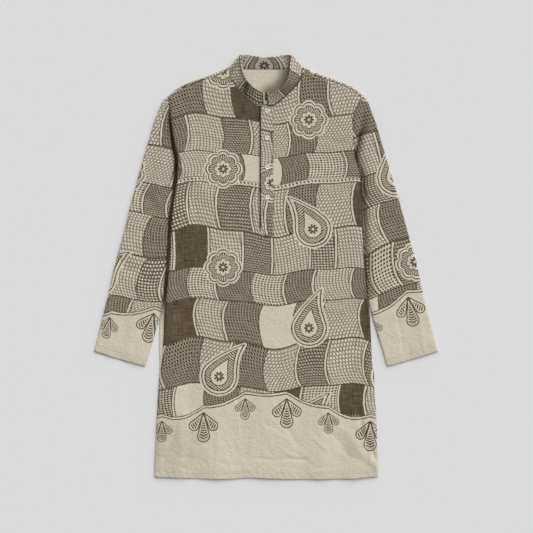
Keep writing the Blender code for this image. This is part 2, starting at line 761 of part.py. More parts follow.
def collar_stations():
    """Foot and free edge of the collar, from the overlap's end round to the underlap's."""
    feet = []
    tops = []

    def add(foot, top):
        feet.append(foot)
        tops.append(top)

    def front_foot(x, y):
        return (x, y, float(front_height(x, y)) - WALL / 2)

    end_foot, end_top, end_z = OVERLAP_END
    over_top = float(front_height(*end_foot)) + GAP + STRIP_WALL / 2
    add((*end_foot, over_top), (*end_top, end_z))
    for row in rows_of(COLLAR_FRONT):
        add(front_foot(row["foot_x"], row["foot_y"]), (row["top_x"], row["top_y"], row["top_z"]))
    foot_z = COLLAR_BACK_FOOT_Z + FOLD_RADIUS
    for angle in (60.0, 0.0, -60.0):
        out = FOLD_RADIUS * math.cos(math.radians(angle))
        up = FOLD_RADIUS * math.sin(math.radians(angle))
        shift = (out * FOLD_OUT[0], out * FOLD_OUT[1])
        foot = (FOLD_FOOT[0] + shift[0], FOLD_FOOT[1] + shift[1], foot_z + up)
        top = (FOLD_TOP[0] + shift[0], FOLD_TOP[1] + shift[1], FOLD_TOP_Z + up)
        add(foot, top)
    for row in rows_of(COLLAR_BACK):
        add(
            (row["foot_x"], row["foot_y"], COLLAR_BACK_FOOT_Z),
            (row["top_x"], row["top_y"], row["top_z"]),
        )
    front_rows = rows_of(COLLAR_FRONT)
    for k in range(len(feet) - 2, len(front_rows), -1):
        foot, top = feet[k], tops[k]
        add((-foot[0], *foot[1:]), (-top[0], *top[1:]))
    for row in front_rows[:0:-1]:
        add(front_foot(-row["foot_x"], row["foot_y"]), (row["left_x"], row["left_y"], row["left_z"]))
    for row in rows_of(UNDERLAP):
        add((row["foot_x"], row["foot_y"], row["foot_z"]), (row["top_x"], row["top_y"], row["top_z"]))
    return np.array(feet), np.array(tops)


COLLAR_PER_SPAN = 2
COLLAR_LEVELS = spread(0.0, (4, 1.0))


def collar_surface():
    """Middle surface of the collar as a grid of stations by levels, and its normals."""
    feet, tops = collar_stations()
    both = catmull_rom(np.hstack([feet, tops]), COLLAR_PER_SPAN)
    foot, top = both[:, :3], both[:, 3:]
    steps = np.linalg.norm(np.diff((foot + top) / 2, axis=0), axis=1)
    run = np.concatenate([[0.0], np.cumsum(steps)])
    from_end = np.minimum(run, run[-1] - run)
    short = COLLAR_CORNER - np.minimum(from_end, COLLAR_CORNER)
    drop = COLLAR_CORNER - np.sqrt(np.maximum(COLLAR_CORNER**2 - short**2, 0.0))
    reach = 1 - drop / COLLAR_HEIGHT
    up = (top - foot) / np.linalg.norm(top - foot, axis=1)[:, None]
    foot = foot + COLLAR_FOOT_LIFT * up
    levels = COLLAR_LEVELS[None, :, None] * reach[:, None, None]
    surface = foot[:, None, :] + levels * (top - foot)[:, None, :]
    across = np.gradient(surface, axis=0)
    normal = np.cross(across, np.broadcast_to(up[:, None, :], across.shape))
    normal /= np.linalg.norm(normal, axis=2)[..., None]
    return surface, normal


def make_collar():
    surface, normal = collar_surface()
    outer = surface + normal * COLLAR_WALL / 2
    inner = surface - normal * COLLAR_WALL / 2
    mesh = sheet_mesh("collar_band", [[outer, inner]])
    return finished("collar_band", mesh, PRINTED_LINEN, 0.9)


def button_mesh():
    """A turned shirt button with a raised rim and four holes, standing on z = 0."""
    radius, height = BUTTON_RADIUS, BUTTON_HEIGHT
    profile = (
        (0.0, 0.0),
        (radius - 1.1, 0.0),
        (radius - 0.3, 0.5),
        (radius, 1.2),
        (radius - 0.2, 2.0),
        (radius - 0.8, height),
        (radius - 1.5, height - 0.15),
        (radius - 2.0, height - 0.7),
        (0.0, height - 0.8),
    )
    work = bmesh.new()
    rings = []
    sides = 20
    for r, z in profile:
        if r == 0.0:
            rings.append([work.verts.new((0.0, 0.0, z * MM))])
            continue
        turn = [2 * math.pi * k / sides for k in range(sides)]
        rings.append([work.verts.new((r * math.cos(a) * MM, r * math.sin(a) * MM, z * MM)) for a in turn])
    for low, high in zip(rings, rings[1:]):
        for k in range(sides):
            a, b = k, (k + 1) % sides
            if len(low) == 1:
                work.faces.new((low[0], high[b], high[a]))
            elif len(high) == 1:
                work.faces.new((low[a], low[b], high[0]))
            else:
                work.faces.new((low[a], low[b], high[b], high[a]))
    bmesh.ops.recalc_face_normals(work, faces=work.faces)
    mesh = bpy.data.meshes.new("button")
    work.to_mesh(mesh)
    work.free()
    return mesh


def hole_cutter():
    """Four round pins that cut the thread holes of a button."""
    work = bmesh.new()
    for k in range(4):
        angle = math.pi / 4 + k * math.pi / 2
        made = bmesh.ops.create_cone(
            work,
            cap_ends=True,
            segments=8,
            radius1=BUTTON_HOLE_RADIUS * MM,
            radius2=BUTTON_HOLE_RADIUS * MM,
            depth=3 * BUTTON_HEIGHT * MM,
        )
        spot = (
            BUTTON_HOLE_SPREAD * math.cos(angle) * MM,
            BUTTON_HOLE_SPREAD * math.sin(angle) * MM,
            0.0,
        )
        bmesh.ops.translate(work, verts=made["verts"], vec=spot)
    mesh = bpy.data.meshes.new("button_holes")
    work.to_mesh(mesh)
    work.free()
    return mesh


def make_button(name, location, tilt=0.0, scale=1.0):
    """A button with its holes, placed by its underside and tipped about the X axis."""
    mesh = button_mesh()
    cutter = bpy.data.objects.new(name + "_holes", hole_cutter())
    bpy.context.scene.collection.objects.link(cutter)
    cutter.hide_render = True
    cutter.display_type = "WIRE"
    for item in (mesh, cutter.data):
        for vertex in item.vertices:
            vertex.co = vertex.co * scale
    made = finished(name, mesh, PEARL, 0.25, 50.0)
    cut = made.modifiers.new("thread holes", "BOOLEAN")
    cut.operation = "DIFFERENCE"
    cut.object = cutter
    made.location = [value * MM for value in location]
    made.rotation_euler = (tilt, 0.0, 0.0)
    cutter.parent = made
    return made


def make_buttons():
    for number, row in enumerate(rows_of(PLACKET_BUTTONS), start=1):
        around = BUTTON_RADIUS * np.array([[0, 0], [1, 0], [-1, 0], [0, 1], [0, -1]])
        under = front_height(row["x"] + around[:, 0], row["y"] + around[:, 1]).max()
        seat = float(under) + GAP + STRIP_WALL + GAP
        make_button(f"button_{number}", (row["x"], row["y"], seat))
    surface, normal = collar_surface()
    stations = [k for k in range(len(surface)) if surface[k, 0, 1] < 400 and k > len(surface) / 2]
    nearest = min(stations, key=lambda k: abs(surface[k, 0, 0] - NECK_BUTTON_X))
    foot = surface[nearest, 0]
    top = surface[nearest, -1]
    facing = normal[nearest, 0]
    if facing[2] < 0:
        facing = -facing
    seat = foot + NECK_BUTTON_ALONG * (top - foot) + facing * (COLLAR_WALL / 2 + GAP + 0.1)
    tilt = math.atan2(-facing[1], facing[2])
    spot = (NECK_BUTTON_X, seat[1], seat[2])
    make_button("button_neck", spot, tilt, NECK_BUTTON_SCALE)


def main():
    for old in list(bpy.data.objects):
        bpy.data.objects.remove(old, do_unlink=True)
    make_back()
    make_front()
    make_placket()
    for side in (-1, 1):
        make_sleeve(side)
    make_collar()
    make_buttons()


main()
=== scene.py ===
"""Kurta tunic of printed linen, laid flat and face up.

Tables are in millimetres, +X to the viewer's right, +Y towards the collar, +Z up, as in
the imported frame. The cloth is built as thin shells on the frame's own solids: back,
front, placket strips, collar and one flattened tube for each sleeve. The print is drawn
by the cloth's own material. In tables left and right are the viewer's, as side -1 and
side 1, and in the names of pieces they are the wearer's.
"""

import json
import math

import bmesh
import bpy
import numpy as np
from mathutils import Matrix, Vector, noise

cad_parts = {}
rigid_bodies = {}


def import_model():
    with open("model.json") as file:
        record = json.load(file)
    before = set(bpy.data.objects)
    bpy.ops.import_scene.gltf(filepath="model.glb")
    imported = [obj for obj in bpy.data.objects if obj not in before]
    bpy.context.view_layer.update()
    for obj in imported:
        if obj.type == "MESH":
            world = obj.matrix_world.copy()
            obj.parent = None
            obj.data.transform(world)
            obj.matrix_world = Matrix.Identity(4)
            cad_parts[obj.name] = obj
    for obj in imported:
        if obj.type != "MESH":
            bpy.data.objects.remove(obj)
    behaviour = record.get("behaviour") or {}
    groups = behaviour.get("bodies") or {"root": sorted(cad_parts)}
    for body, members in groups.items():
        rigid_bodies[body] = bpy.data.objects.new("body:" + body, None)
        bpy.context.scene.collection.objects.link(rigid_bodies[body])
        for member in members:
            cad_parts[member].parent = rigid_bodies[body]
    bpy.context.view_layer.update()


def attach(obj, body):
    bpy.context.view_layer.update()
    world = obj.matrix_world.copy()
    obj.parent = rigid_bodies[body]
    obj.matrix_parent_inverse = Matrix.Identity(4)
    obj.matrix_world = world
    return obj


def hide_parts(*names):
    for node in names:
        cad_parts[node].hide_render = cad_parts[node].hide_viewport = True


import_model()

MM = 0.001

WALL = 0.9
BACK_WALL = 1.2
GAP = 0.3

# Turned bands of the hem and the cuffs: their step, the dip along their seam and the
# droop of their edge. The hem's seam draws short waves into it.
HEM_BAND = 15.0
CUFF_BAND = 17.0
BAND_RISE = 0.45
BAND_STEP = 0.6
BAND_DIP = 0.5
BAND_DIP_INSIDE = 1.5
BAND_DIP_WIDTH = 2.4
HEM_DROOP = 1.2
CUFF_DROOP = 1.8
DROOP_REACH = 13.0
PUCKER = 0.6
PUCKER_PITCH = 2.9
PUCKER_LEAN = 0.5
PUCKER_WANDER = 2.2
PUCKER_WANDER_PITCH = 31.0
PUCKER_SWELL_PITCH = 47.0
PUCKER_INSIDE = 3.0
PUCKER_REACH = 7.0
# Past this power of e a band's step is as good as flat.
STEP_END = 50.0

# The front's rounded side edge and where it starts, then the front's usual height above
# the ground and its limits.
EDGE_ROUND = 7.0
SEAM_FOOT = 1.8
LEVEL = 4.7
LOWEST = 3.6
HIGHEST = 6.6

# The front lies fuller near its side edges, above the slits more than below them.
FULLNESS = 0.6
UPPER_FULLNESS = 0.7
UPPER_FULLNESS_FROM = -250.0
UPPER_FULLNESS_RUN = 40.0
FULLNESS_REACH = 40.0

# It comes up to the seams at the shoulders and round the neck.
SEAM_REACH = 22.0
NECK_MIDDLE_Y = 445.0
NECK_RADIUS = 80.0
NECK_REACH = 30.0
NECK_SHARE = 0.98

# Creases and crumple fade out towards the placket and the neck: where each starts to
# let them through, and over how far.
PLACKET_MIDDLE_X = 2.0
BESIDE_PLACKET = (24.0, 22.0)
BELOW_PLACKET = (10.0, 26.0)
BELOW_NECK = (84.0, 30.0)

# The back rolls forward over the shoulder's fold to a seam in front of it.
ROLL_RADIUS = 2.95
SEAM_LEVEL = 2 * ROLL_RADIUS
FORWARD_SEAM = 7.3
SEAM_GAP = 0.5
NECK_END_SHARE = 0.12
SEAM_STEP = 0.01
SEAM_SHIFT_FROM = 0.8

# Half shoulder, from the neck to the sleeve head, along the folded edge.
SHOULDER = (
    ("x", "y"),
    (88.6, 480.8),
    (96.0, 477.6),
    (115.2, 468.6),
    (153.6, 454.2),
    (192.0, 439.8),
    (211.2, 430.2),
    (226.0, 418.4),
    (235.6, 409.8),
)

# Outer edge of the front: armhole, side seam and slit. Half widths to each side.
BODY_EDGE = (
    ("y", "left", "right"),
    (409.8, 235.6, 235.6),
    (390.0, 234.4, 220.8),
    (370.0, 232.6, 210.4),
    (345.0, 229.6, 208.6),
    (312.0, 224.4, 209.4),
    (282.0, 217.4, 213.2),
    (257.0, 214.8, 218.4),
    (232.0, 214.8, 225.6),
    (205.0, 216.6, 229.6),
    (160.0, 225.0, 230.8),
    (125.0, 227.9, 231.0),
    (50.0, 230.9, 234.0),
    (-5.0, 235.0, 237.6),
    (-85.0, 242.6, 246.2),
    (-122.0, 244.6, 249.6),
    (-175.0, 246.4, 252.4),
    (-236.0, 251.2, 255.4),
    (-246.0, 254.0, 258.0),
    (-295.0, 258.2, 260.8),
    (-355.0, 261.8, 264.6),
    (-427.0, 265.4, 267.8),
    (-480.0, 267.6, 269.6),
    (-503.0, 267.4, 268.8),
)
UNDERARM_Y = {-1: 257.0, 1: 253.0}
SLIT_TOP_Y = -241.0
SIDE_HEM_Y = -503.0
BACK_SHORTER = 1.0

# How far the back's side edge stands out beyond the front's.
BACK_STEP = (
    ("y", "left", "right"),
    (409.8, -0.6, -0.6),
    (257.0, -0.6, -0.6),
    (240.0, 1.2, 0.6),
    (205.0, 2.6, 0.8),
    (-60.0, 3.0, 0.9),
    (-90.0, 4.6, 0.6),
    (-122.0, 10.4, -0.4),
    (-175.0, 9.8, -0.6),
    (-215.0, 7.0, -0.6),
    (-240.0, 3.2, -0.6),
    (-262.0, -0.8, -0.8),
    (-503.0, -0.8, -0.8),
)

HEM = (
    ("x", "y"),
    (-270.0, -503.4),
    (-230.0, -505.6),
    (-173.0, -507.6),
    (-96.0, -509.4),
    (-38.0, -506.4),
    (0.0, -508.0),
    (77.0, -509.9),
    (154.0, -509.4),
    (211.0, -508.2),
    (250.0, -504.8),
    (271.0, -502.4),
)

# Sleeve edges from the shoulder and the underarm to the cuff, out from the middle.
SLEEVE_OUTER = (
    ("y", "left", "right"),
    (409.8, 236.4, 236.0),
    (401.4, 244.8, 242.4),
    (377.4, 256.8, 252.0),
    (353.4, 266.4, 261.6),
    (305.4, 280.8, 276.0),
    (257.4, 295.2, 290.4),
    (161.4, 321.6, 319.2),
    (65.4, 345.6, 345.6),
    (17.4, 359.0, 359.6),
    (-78.6, 381.6, 381.6),
    (-174.6, 405.6, 406.2),
    (-202.0, 413.0, 413.0),
)
SLEEVE_INNER = (
    ("y", "left", "right"),
    (257.0, 216.0, 218.8),
    (232.0, 217.6, 227.6),
    (205.0, 220.6, 232.4),
    (160.0, 228.6, 233.8),
    (125.0, 232.0, 234.0),
    (50.0, 235.4, 237.0),
    (-5.0, 239.4, 240.4),
    (-78.6, 247.4, 248.0),
    (-121.8, 256.2, 256.4),
    (-157.8, 266.4, 267.0),
    (-198.6, 278.4, 279.6),
    (-238.2, 289.8, 290.4),
)
CUFF_BOW = 1.6
ARMHOLE_TOP_Y = 409.0
# How far the sleeve reaches in under the body's rounded edge.
ARMHOLE_TUCK = 1.2
UNDERARM_TUCK = {-1: 1.5, 1: 2.0}
UNDERARM_TUCK_END = -100.0
SLEEVE_ROUND = 4.0
SLEEVE_LEVEL = 6.0
SLEEVE_HEAD_LEVEL = 3.6
SLEEVE_HEAD_RUN = 12.0
SLEEVE_LOWEST = LOWEST + 0.4
SLEEVE_LENGTH = 560.0
CUFF_LEVEL = 5.0
CUFF_LEVEL_FROM = 0.55

# Soft folds: end to end, half width and height. A negative height is a trough.
FRONT_FOLDS = (
    ("x0", "y0", "x1", "y1", "width", "height"),
    (-236.0, -60.0, -214.0, -470.0, 26.0, 0.8),
    (-190.0, -40.0, -176.0, -505.0, 22.0, -0.9),
    (-128.0, -230.0, -120.0, -505.0, 24.0, 0.9),
    (-64.0, -300.0, -60.0, -505.0, 20.0, -0.8),
    (8.0, -260.0, 4.0, -505.0, 22.0, 0.7),
    (78.0, -330.0, 92.0, -505.0, 20.0, -0.7),
    (150.0, -190.0, 128.0, -505.0, 24.0, 0.9),
    (214.0, -130.0, 172.0, -505.0, 20.0, -0.9),
    (246.0, -300.0, 212.0, -505.0, 18.0, 1.1),
    (-196.0, 236.0, -120.0, 150.0, 16.0, 0.9),
    (-190.0, 196.0, -150.0, 40.0, 18.0, -0.8),
    (200.0, 232.0, 130.0, 140.0, 16.0, 0.9),
    (206.0, 190.0, 160.0, 20.0, 18.0, -0.7),
    (-150.0, 420.0, -196.0, 300.0, 18.0, 0.6),
    (150.0, 420.0, 186.0, 300.0, 18.0, 0.6),
    (-70.0, 60.0, -90.0, -180.0, 24.0, 0.6),
    (84.0, 70.0, 96.0, -150.0, 24.0, -0.6),
)
SLEEVE_FOLDS = (
    ("side", "x0", "y0", "x1", "y1", "width", "height"),
    (-1, 232.0, 330.0, 262.0, 210.0, 13.0, 0.7),
    (-1, 300.0, 180.0, 246.0, 120.0, 15.0, -1.2),
    (-1, 262.0, 90.0, 330.0, 40.0, 14.0, 0.6),
    (-1, 344.0, 10.0, 272.0, -40.0, 15.0, -1.1),
    (-1, 272.0, -90.0, 372.0, -110.0, 16.0, 0.6),
    (-1, 330.0, -90.0, 352.0, -215.0, 14.0, -0.8),
    (1, 222.0, 330.0, 262.0, 230.0, 13.0, 0.7),
    (1, 296.0, 200.0, 246.0, 140.0, 15.0, -1.2),
    (1, 258.0, 70.0, 330.0, 30.0, 14.0, 0.6),
    (1, 346.0, -10.0, 266.0, -60.0, 15.0, -1.1),
    (1, 276.0, -110.0, 380.0, -120.0, 16.0, 0.6),
    (1, 340.0, -110.0, 346.0, -215.0, 14.0, -0.8),
)

# The cloth's folds stand out more than its solid's, by this share of their height.
FOLD_DEPTH = 0.8
CREASE_DEPTH = 1.6

# Crumple of pressed linen, from wide to narrow: the size of its swells, their own
# stretch of the noise and their height.
SWELLS = (
    (50.0, 70.0, 0.0, 0.85),
    (18.0, 24.0, 9.0, 0.46),
    (8.0, 8.0, 17.0, 0.2),
)
# Fine pressed lines run where one noise is close to 0, in the patches that another picks.
LINE_CELL = (34.0, 46.0, 30.0)
LINE_SHARPNESS = 6.5
LINE_PATCH = (60.0, 60.0, 41.0)
LINE_PATCH_MORE = 0.1
LINE_DEPTH = 1.1
FRONT_CRUMPLE = 3.0
SLEEVE_CRUMPLE = 40.0

# Pressed-in creases of the front, finer than the folds, each with a little bow.
CREASES = (
    ("x0", "y0", "x1", "y1", "width", "height", "bow"),
    (-235.0, -381.0, -244.0, -446.0, 4.4, 0.9, 0.0),
    (-211.0, -364.0, -245.0, -455.0, 5.6, -1.3, 2.4),
    (-126.0, -395.0, -127.0, -458.0, 5.0, -0.7, 0.0),
    (-176.0, -423.0, -163.0, -430.0, 3.2, -0.4, 0.0),
    (-212.0, -457.0, -174.0, -460.0, 3.2, -0.5, 1.4),
    (-162.0, -460.0, -140.0, -475.0, 3.2, -0.5, 1.2),
    (-110.0, -469.0, -74.0, -475.0, 3.2, -0.5, -1.4),
    (-79.0, -489.0, -43.0, -488.0, 3.0, 0.4, 0.0),
    (28.0, -328.0, 42.0, -375.0, 3.4, -0.7, 1.4),
    (48.0, -379.0, 74.0, -424.0, 4.8, -1.0, -1.2),
    (-2.0, -357.0, 2.0, -380.0, 3.0, -0.5, 0.0),
    (2.0, -379.0, 26.0, -389.0, 3.0, -0.5, 1.2),
    (22.0, -404.0, 50.0, -413.0, 3.0, 0.4, 1.0),
    (4.0, -427.0, 12.0, -447.0, 3.0, -0.5, 0.0),
    (42.0, -439.0, 66.0, -455.0, 3.0, 0.6, 0.0),
    (-22.0, -459.0, 54.0, -459.0, 3.2, -0.55, -1.9),
    (54.0, -459.0, 94.0, -463.0, 3.2, -0.8, -1.0),
    (91.0, -462.0, 109.0, -474.0, 3.2, -0.8, 0.0),
    (30.0, -477.0, 62.0, -481.0, 3.0, -0.4, 0.0),
    (94.0, -491.0, 125.0, -482.0, 3.2, -0.5, 0.0),
    (122.0, -483.0, 156.0, -478.0, 3.0, -0.4, 0.0),
    (190.0, -396.0, 262.0, -474.0, 12.0, 1.3, -2.4),
    (222.0, -344.0, 236.0, -410.0, 5.6, -1.7, 1.2),
    (235.0, -405.0, 262.0, -458.0, 5.2, -2.0, 1.4),
    (160.0, -403.0, 199.0, -453.0, 5.4, -0.7, 1.9),
    (197.0, -451.0, 257.0, -484.0, 4.6, -0.5, 1.4),
    (100.0, -397.0, 143.0, -436.0, 3.2, 0.6, -1.2),
    (-72.0, -328.0, -67.0, -417.0, 6.6, 0.6, 2.4),
    (-36.0, -383.0, -48.0, -458.0, 5.4, -0.5, -2.4),
    (134.0, -362.0, 154.0, -419.0, 5.0, -0.6, 0.0),
    (-216.0, -475.0, -187.0, -487.0, 3.2, -0.5, 0.0),
    (-150.0, -40.0, -60.0, -66.0, 6.0, -0.7, 3.0),
    (-206.0, -150.0, -150.0, -120.0, 6.0, 0.7, -3.0),
    (-60.0, -190.0, 30.0, -206.0, 6.0, -0.6, 3.0),
    (70.0, -70.0, 180.0, -104.0, 6.5, 0.7, -4.0),
    (120.0, -230.0, 230.0, -190.0, 6.0, -0.7, 3.0),
    (-120.0, 80.0, -40.0, 44.0, 6.0, -0.6, 2.0),
    (44.0, 30.0, 150.0, 70.0, 6.0, 0.6, 3.0),
    (-204.0, 120.0, -130.0, 96.0, 6.0, -0.7, -3.0),
    (-180.0, 330.0, -96.0, 300.0, 6.0, 0.6, 4.0),
    (60.0, 330.0, 190.0, 296.0, 6.0, -0.6, -4.0),
    (40.0, 214.0, 120.0, 236.0, 6.0, -0.6, 2.0),
    (-110.0, 214.0, -44.0, 190.0, 6.0, 0.6, 2.0),
)
SLEEVE_CREASES = (
    ("side", "x0", "y0", "x1", "y1", "width", "height", "bow"),
    (-1, 246.0, 300.0, 276.0, 262.0, 4.5, -0.6, 2.0),
    (-1, 236.0, 200.0, 296.0, 170.0, 5.0, 0.7, 2.0),
    (-1, 244.0, 150.0, 300.0, 132.0, 4.5, -0.6, -2.0),
    (-1, 300.0, 100.0, 330.0, 74.0, 4.5, 0.6, 0.0),
    (-1, 250.0, 20.0, 320.0, -6.0, 5.0, -0.7, 2.0),
    (-1, 290.0, -60.0, 350.0, -84.0, 4.5, 0.6, -2.0),
    (-1, 300.0, -150.0, 318.0, -206.0, 4.5, -0.6, 1.0),
    (-1, 364.0, -120.0, 376.0, -190.0, 4.5, 0.6, 1.0),
    (1, 240.0, 318.0, 270.0, 262.0, 4.5, -0.6, 2.0),
    (1, 238.0, 190.0, 296.0, 150.0, 5.0, 0.7, 2.0),
    (1, 252.0, 120.0, 310.0, 104.0, 4.5, -0.6, -2.0),
    (1, 300.0, 60.0, 334.0, 30.0, 4.5, 0.6, 0.0),
    (1, 256.0, -10.0, 322.0, -30.0, 5.0, -0.7, 2.0),
    (1, 300.0, -70.0, 360.0, -90.0, 4.5, 0.6, -2.0),
    (1, 318.0, -130.0, 330.0, -206.0, 4.5, -0.7, 1.0),
    (1, 366.0, -110.0, 378.0, -196.0, 4.5, 0.6, 1.0),
)

# Painted shade in the fold between body and sleeve: a line down it, its half width and
# how far it darkens the cloth's colour.
PAINTED_FOLD_SHADE = {
    -1: (
        ("x", "y", "width", "depth"),
        (-231.6, 372.6, 1.9, 0.8),
        (-230.4, 348.6, 3.9, 1.0),
        (-226.8, 318.4, 5.2, 1.0),
        (-220.8, 281.4, 6.0, 1.0),
        (-216.2, 257.4, 6.0, 1.0),
        (-217.7, 211.8, 6.3, 1.0),
        (-220.3, 187.8, 4.9, 1.0),
        (-229.4, 125.4, 5.2, 1.0),
        (-233.0, 48.6, 4.9, 1.0),
        (-235.7, 10.2, 4.7, 1.0),
        (-244.3, -78.6, 4.1, 1.0),
        (-249.6, -121.8, 2.2, 0.4),
    ),
    1: (
        ("x", "y", "width", "depth"),
        (234.0, 334.2, 2.4, 0.6),
        (226.6, 319.8, 3.4, 0.95),
        (222.6, 298.2, 3.2, 0.85),
        (218.2, 283.8, 2.7, 0.95),
        (217.5, 262.2, 2.7, 0.95),
        (223.4, 245.4, 2.9, 0.8),
        (230.6, 226.2, 3.2, 0.9),
        (233.3, 195.0, 3.2, 0.8),
        (236.0, 149.4, 3.8, 0.85),
        (239.0, 65.4, 4.0, 0.7),
        (241.4, -30.6, 4.0, 0.6),
        (243.8, -121.8, 2.9, 0.3),
    ),
}

# Placket: the slot in the front and the two strips that close it. A strip's cloth is a
# little thinner than its solid.
SLOT_LEFT = -14.2
SLOT_RIGHT = 15.4
SLOT_BOTTOM = 92.0
STRIP_WALL = 1.2
STRIP_CLOTH = 1.1
UNDER_LIFT = -1.3
OVER_SEAM_INSIDE = 2.6
OVER_SEAM_WIDTH = 1.3
OVER_SEAM_DIP = 0.5
UNDER_SHADE_WIDTH = 3.2
OVER_LEFT = -12.0
OVER_RIGHT = 17.4
OVER_TOP = (384.6, 384.6)
OVER_BOTTOM = 75.5
UNDER_TOP = (388.6, 385.2)

# Stand collar: foot and free edge, from the front middle to the back middle, on the
# viewer's right. On the viewer's left the foot is the same, mirrored, and the free edge
# leans further in: left_x to left_z.
COLLAR_FRONT = (
    ("foot_x", "foot_y", "top_x", "top_y", "top_z", "left_x", "left_y", "left_z"),
    (18.7, 387.5, 13.4, 415.6, 23.6, None, None, None),
    (28.5, 394.4, 19.6, 417.8, 28.0, -20.5, 425.5, 20.8),
    (39.6, 404.3, 27.0, 421.0, 32.0, -27.5, 429.8, 27.0),
    (48.5, 412.5, 34.0, 426.2, 33.4, -34.5, 434.5, 29.4),
    (57.6, 421.3, 41.4, 433.4, 33.6, -41.0, 439.4, 30.9),
    (66.5, 429.6, 48.4, 443.0, 32.2, -46.6, 447.4, 29.3),
    (75.2, 438.6, 53.2, 454.4, 29.4, -51.0, 457.0, 25.4),
    (82.6, 450.0, 56.0, 469.0, 24.4, -55.0, 469.6, 22.7),
    (86.0, 461.4, 57.8, 483.4, 20.0, -57.8, 483.4, 20.0),
    (86.6, 470.0, 59.0, 496.0, 16.6, -59.0, 496.0, 16.6),
)
COLLAR_BACK = (
    ("foot_x", "foot_y", "top_x", "top_y", "top_z"),
    (76.0, 477.2, 51.0, 508.8, 12.6),
    (62.0, 476.4, 41.0, 508.4, 15.2),
    (43.0, 475.4, 29.6, 505.8, 17.8),
    (22.0, 475.1, 15.0, 503.6, 19.8),
    (0.0, 475.0, 0.0, 502.6, 20.6),
)
COLLAR_WALL = 1.7
COLLAR_FOOT_DEPTH = 0.7
COLLAR_FOOT_LIFT = 1.0
COLLAR_BACK_FOOT_Z = 0.95
FOLD_FOOT = (85.6, 477.4)
FOLD_TOP = (59.6, 507.9)
FOLD_TOP_Z = 12.2
FOLD_RADIUS = 2.2
FOLD_OUT = (0.75, 0.66)
FOLD_TURNS = (60.0, 0.0, -60.0)
OVERLAP_END = ((5.8, 385.8), (5.8, 415.2), 22.8)
UNDERLAP = (
    ("foot_x", "foot_y", "foot_z", "top_x", "top_y", "top_z"),
    (-18.7, 389.4, 4.6, -14.6, 422.4, 20.6),
    (-8.0, 390.2, 3.9, -6.4, 418.2, 21.8),
    (3.0, 390.4, 3.5, 3.0, 418.6, 20.8),
    (13.0, 390.4, 3.4, 13.0, 418.6, 20.4),
)
COLLAR_CORNER = 11.0
COLLAR_HEIGHT = 36.0
COLLAR_INSIDE = (0.0, 440.0, 20.0)
COLLAR_SPAN_STEPS = 8
COLLAR_ROWS = 12
NECK_CLEARANCE = 1.0
BACK_NECK_END = (84.4, 477.4)


def rows_of(table):
    """The rows of a table, each as a dict of its named columns."""
    return [dict(zip(table[0], row)) for row in table[1:]]


def column(table, name):
    """One column of a table as an array."""
    index = table[0].index(name)
    return np.array([row[index] for row in table[1:]], float)


def points_of(table, x_name, y_name):
    """Two columns of a table as points in plan."""
    return np.column_stack([column(table, x_name), column(table, y_name)])


def catmull_rom(points, per_span=10):
    """Points along a smooth curve through the given points."""
    points = np.asarray(points, float)
    ends = np.vstack([2 * points[0] - points[1], points, 2 * points[-1] - points[-2]])
    steps = np.sqrt(np.linalg.norm(np.diff(ends, axis=0), axis=1))
    knots = np.concatenate([[0.0], np.cumsum(steps)])
    out = []
    for i in range(1, len(ends) - 2):
        t0, t1, t2, t3 = knots[i - 1 : i + 3]
        p0, p1, p2, p3 = ends[i - 1 : i + 3]
        t = np.linspace(t1, t2, per_span, endpoint=False)[:, None]
        a1 = (t1 - t) / (t1 - t0) * p0 + (t - t0) / (t1 - t0) * p1
        a2 = (t2 - t) / (t2 - t1) * p1 + (t - t1) / (t2 - t1) * p2
        a3 = (t3 - t) / (t3 - t2) * p2 + (t - t2) / (t3 - t2) * p3
        b1 = (t2 - t) / (t2 - t0) * a1 + (t - t0) / (t2 - t0) * a2
        b2 = (t3 - t) / (t3 - t1) * a2 + (t - t1) / (t3 - t1) * a3
        out.append((t2 - t) / (t2 - t1) * b1 + (t - t1) / (t2 - t1) * b2)
    return np.vstack(out + [points[-1:]])


def run_of(curve):
    """How far along a polyline each of its points lies."""
    steps = np.linalg.norm(np.diff(curve, axis=0), axis=1)
    return np.concatenate([[0.0], np.cumsum(steps)])


def along(curve, fractions):
    """Points of a polyline at fractions of its length."""
    reached = run_of(curve)
    reached /= reached[-1]
    return np.stack([np.interp(fractions, reached, axis) for axis in curve.T], axis=-1)


def smooth_value(table, key, name):
    """A function that reads one column of a table smoothly against another."""
    curve = catmull_rom(points_of(table, key, name))
    curve = curve[np.argsort(curve[:, 0])]
    return lambda at: np.interp(at, curve[:, 0], curve[:, 1])


def spread(*stops):
    """Numbers through the stops, given as first, then (steps, next) pairs."""
    values = [stops[0]]
    for steps, following in stops[1:]:
        values += list(np.linspace(values[-1], following, steps + 1)[1:])
    return np.array(values)


def coons(west, east, south, north, u, v):
    """Grid between four edges: west and east along v, south and north along u."""
    u = u[None, :, None] if u.ndim == 1 else u[:, :, None]
    v = v[:, None, None]
    corners = (
        (1 - u) * (1 - v) * west[0]
        + u * (1 - v) * east[0]
        + (1 - u) * v * west[-1]
        + u * v * east[-1]
    )
    sides = (1 - u) * west[:, None, :] + u * east[:, None, :]
    ends = (1 - v) * south[None, :, :] + v * north[None, :, :]
    return sides + ends - corners


def grown(value, start, run):
    """A share that grows from 0 to 1 past a start, over a run."""
    return np.clip((value - start) / run, 0.0, 1.0)


def side_name(side):
    """Name of a side's column in the tables."""
    return "left" if side < 0 else "right"


BODY_EDGE_X = {side: smooth_value(BODY_EDGE, "y", side_name(side)) for side in (-1, 1)}
HEM_Y = smooth_value(HEM, "x", "y")
SHOULDER_LINE = catmull_rom(points_of(SHOULDER, "x", "y"))


def body_edge(side, y):
    """x of the front's outer edge at a height, on one side."""
    return side * BODY_EDGE_X[side](y)


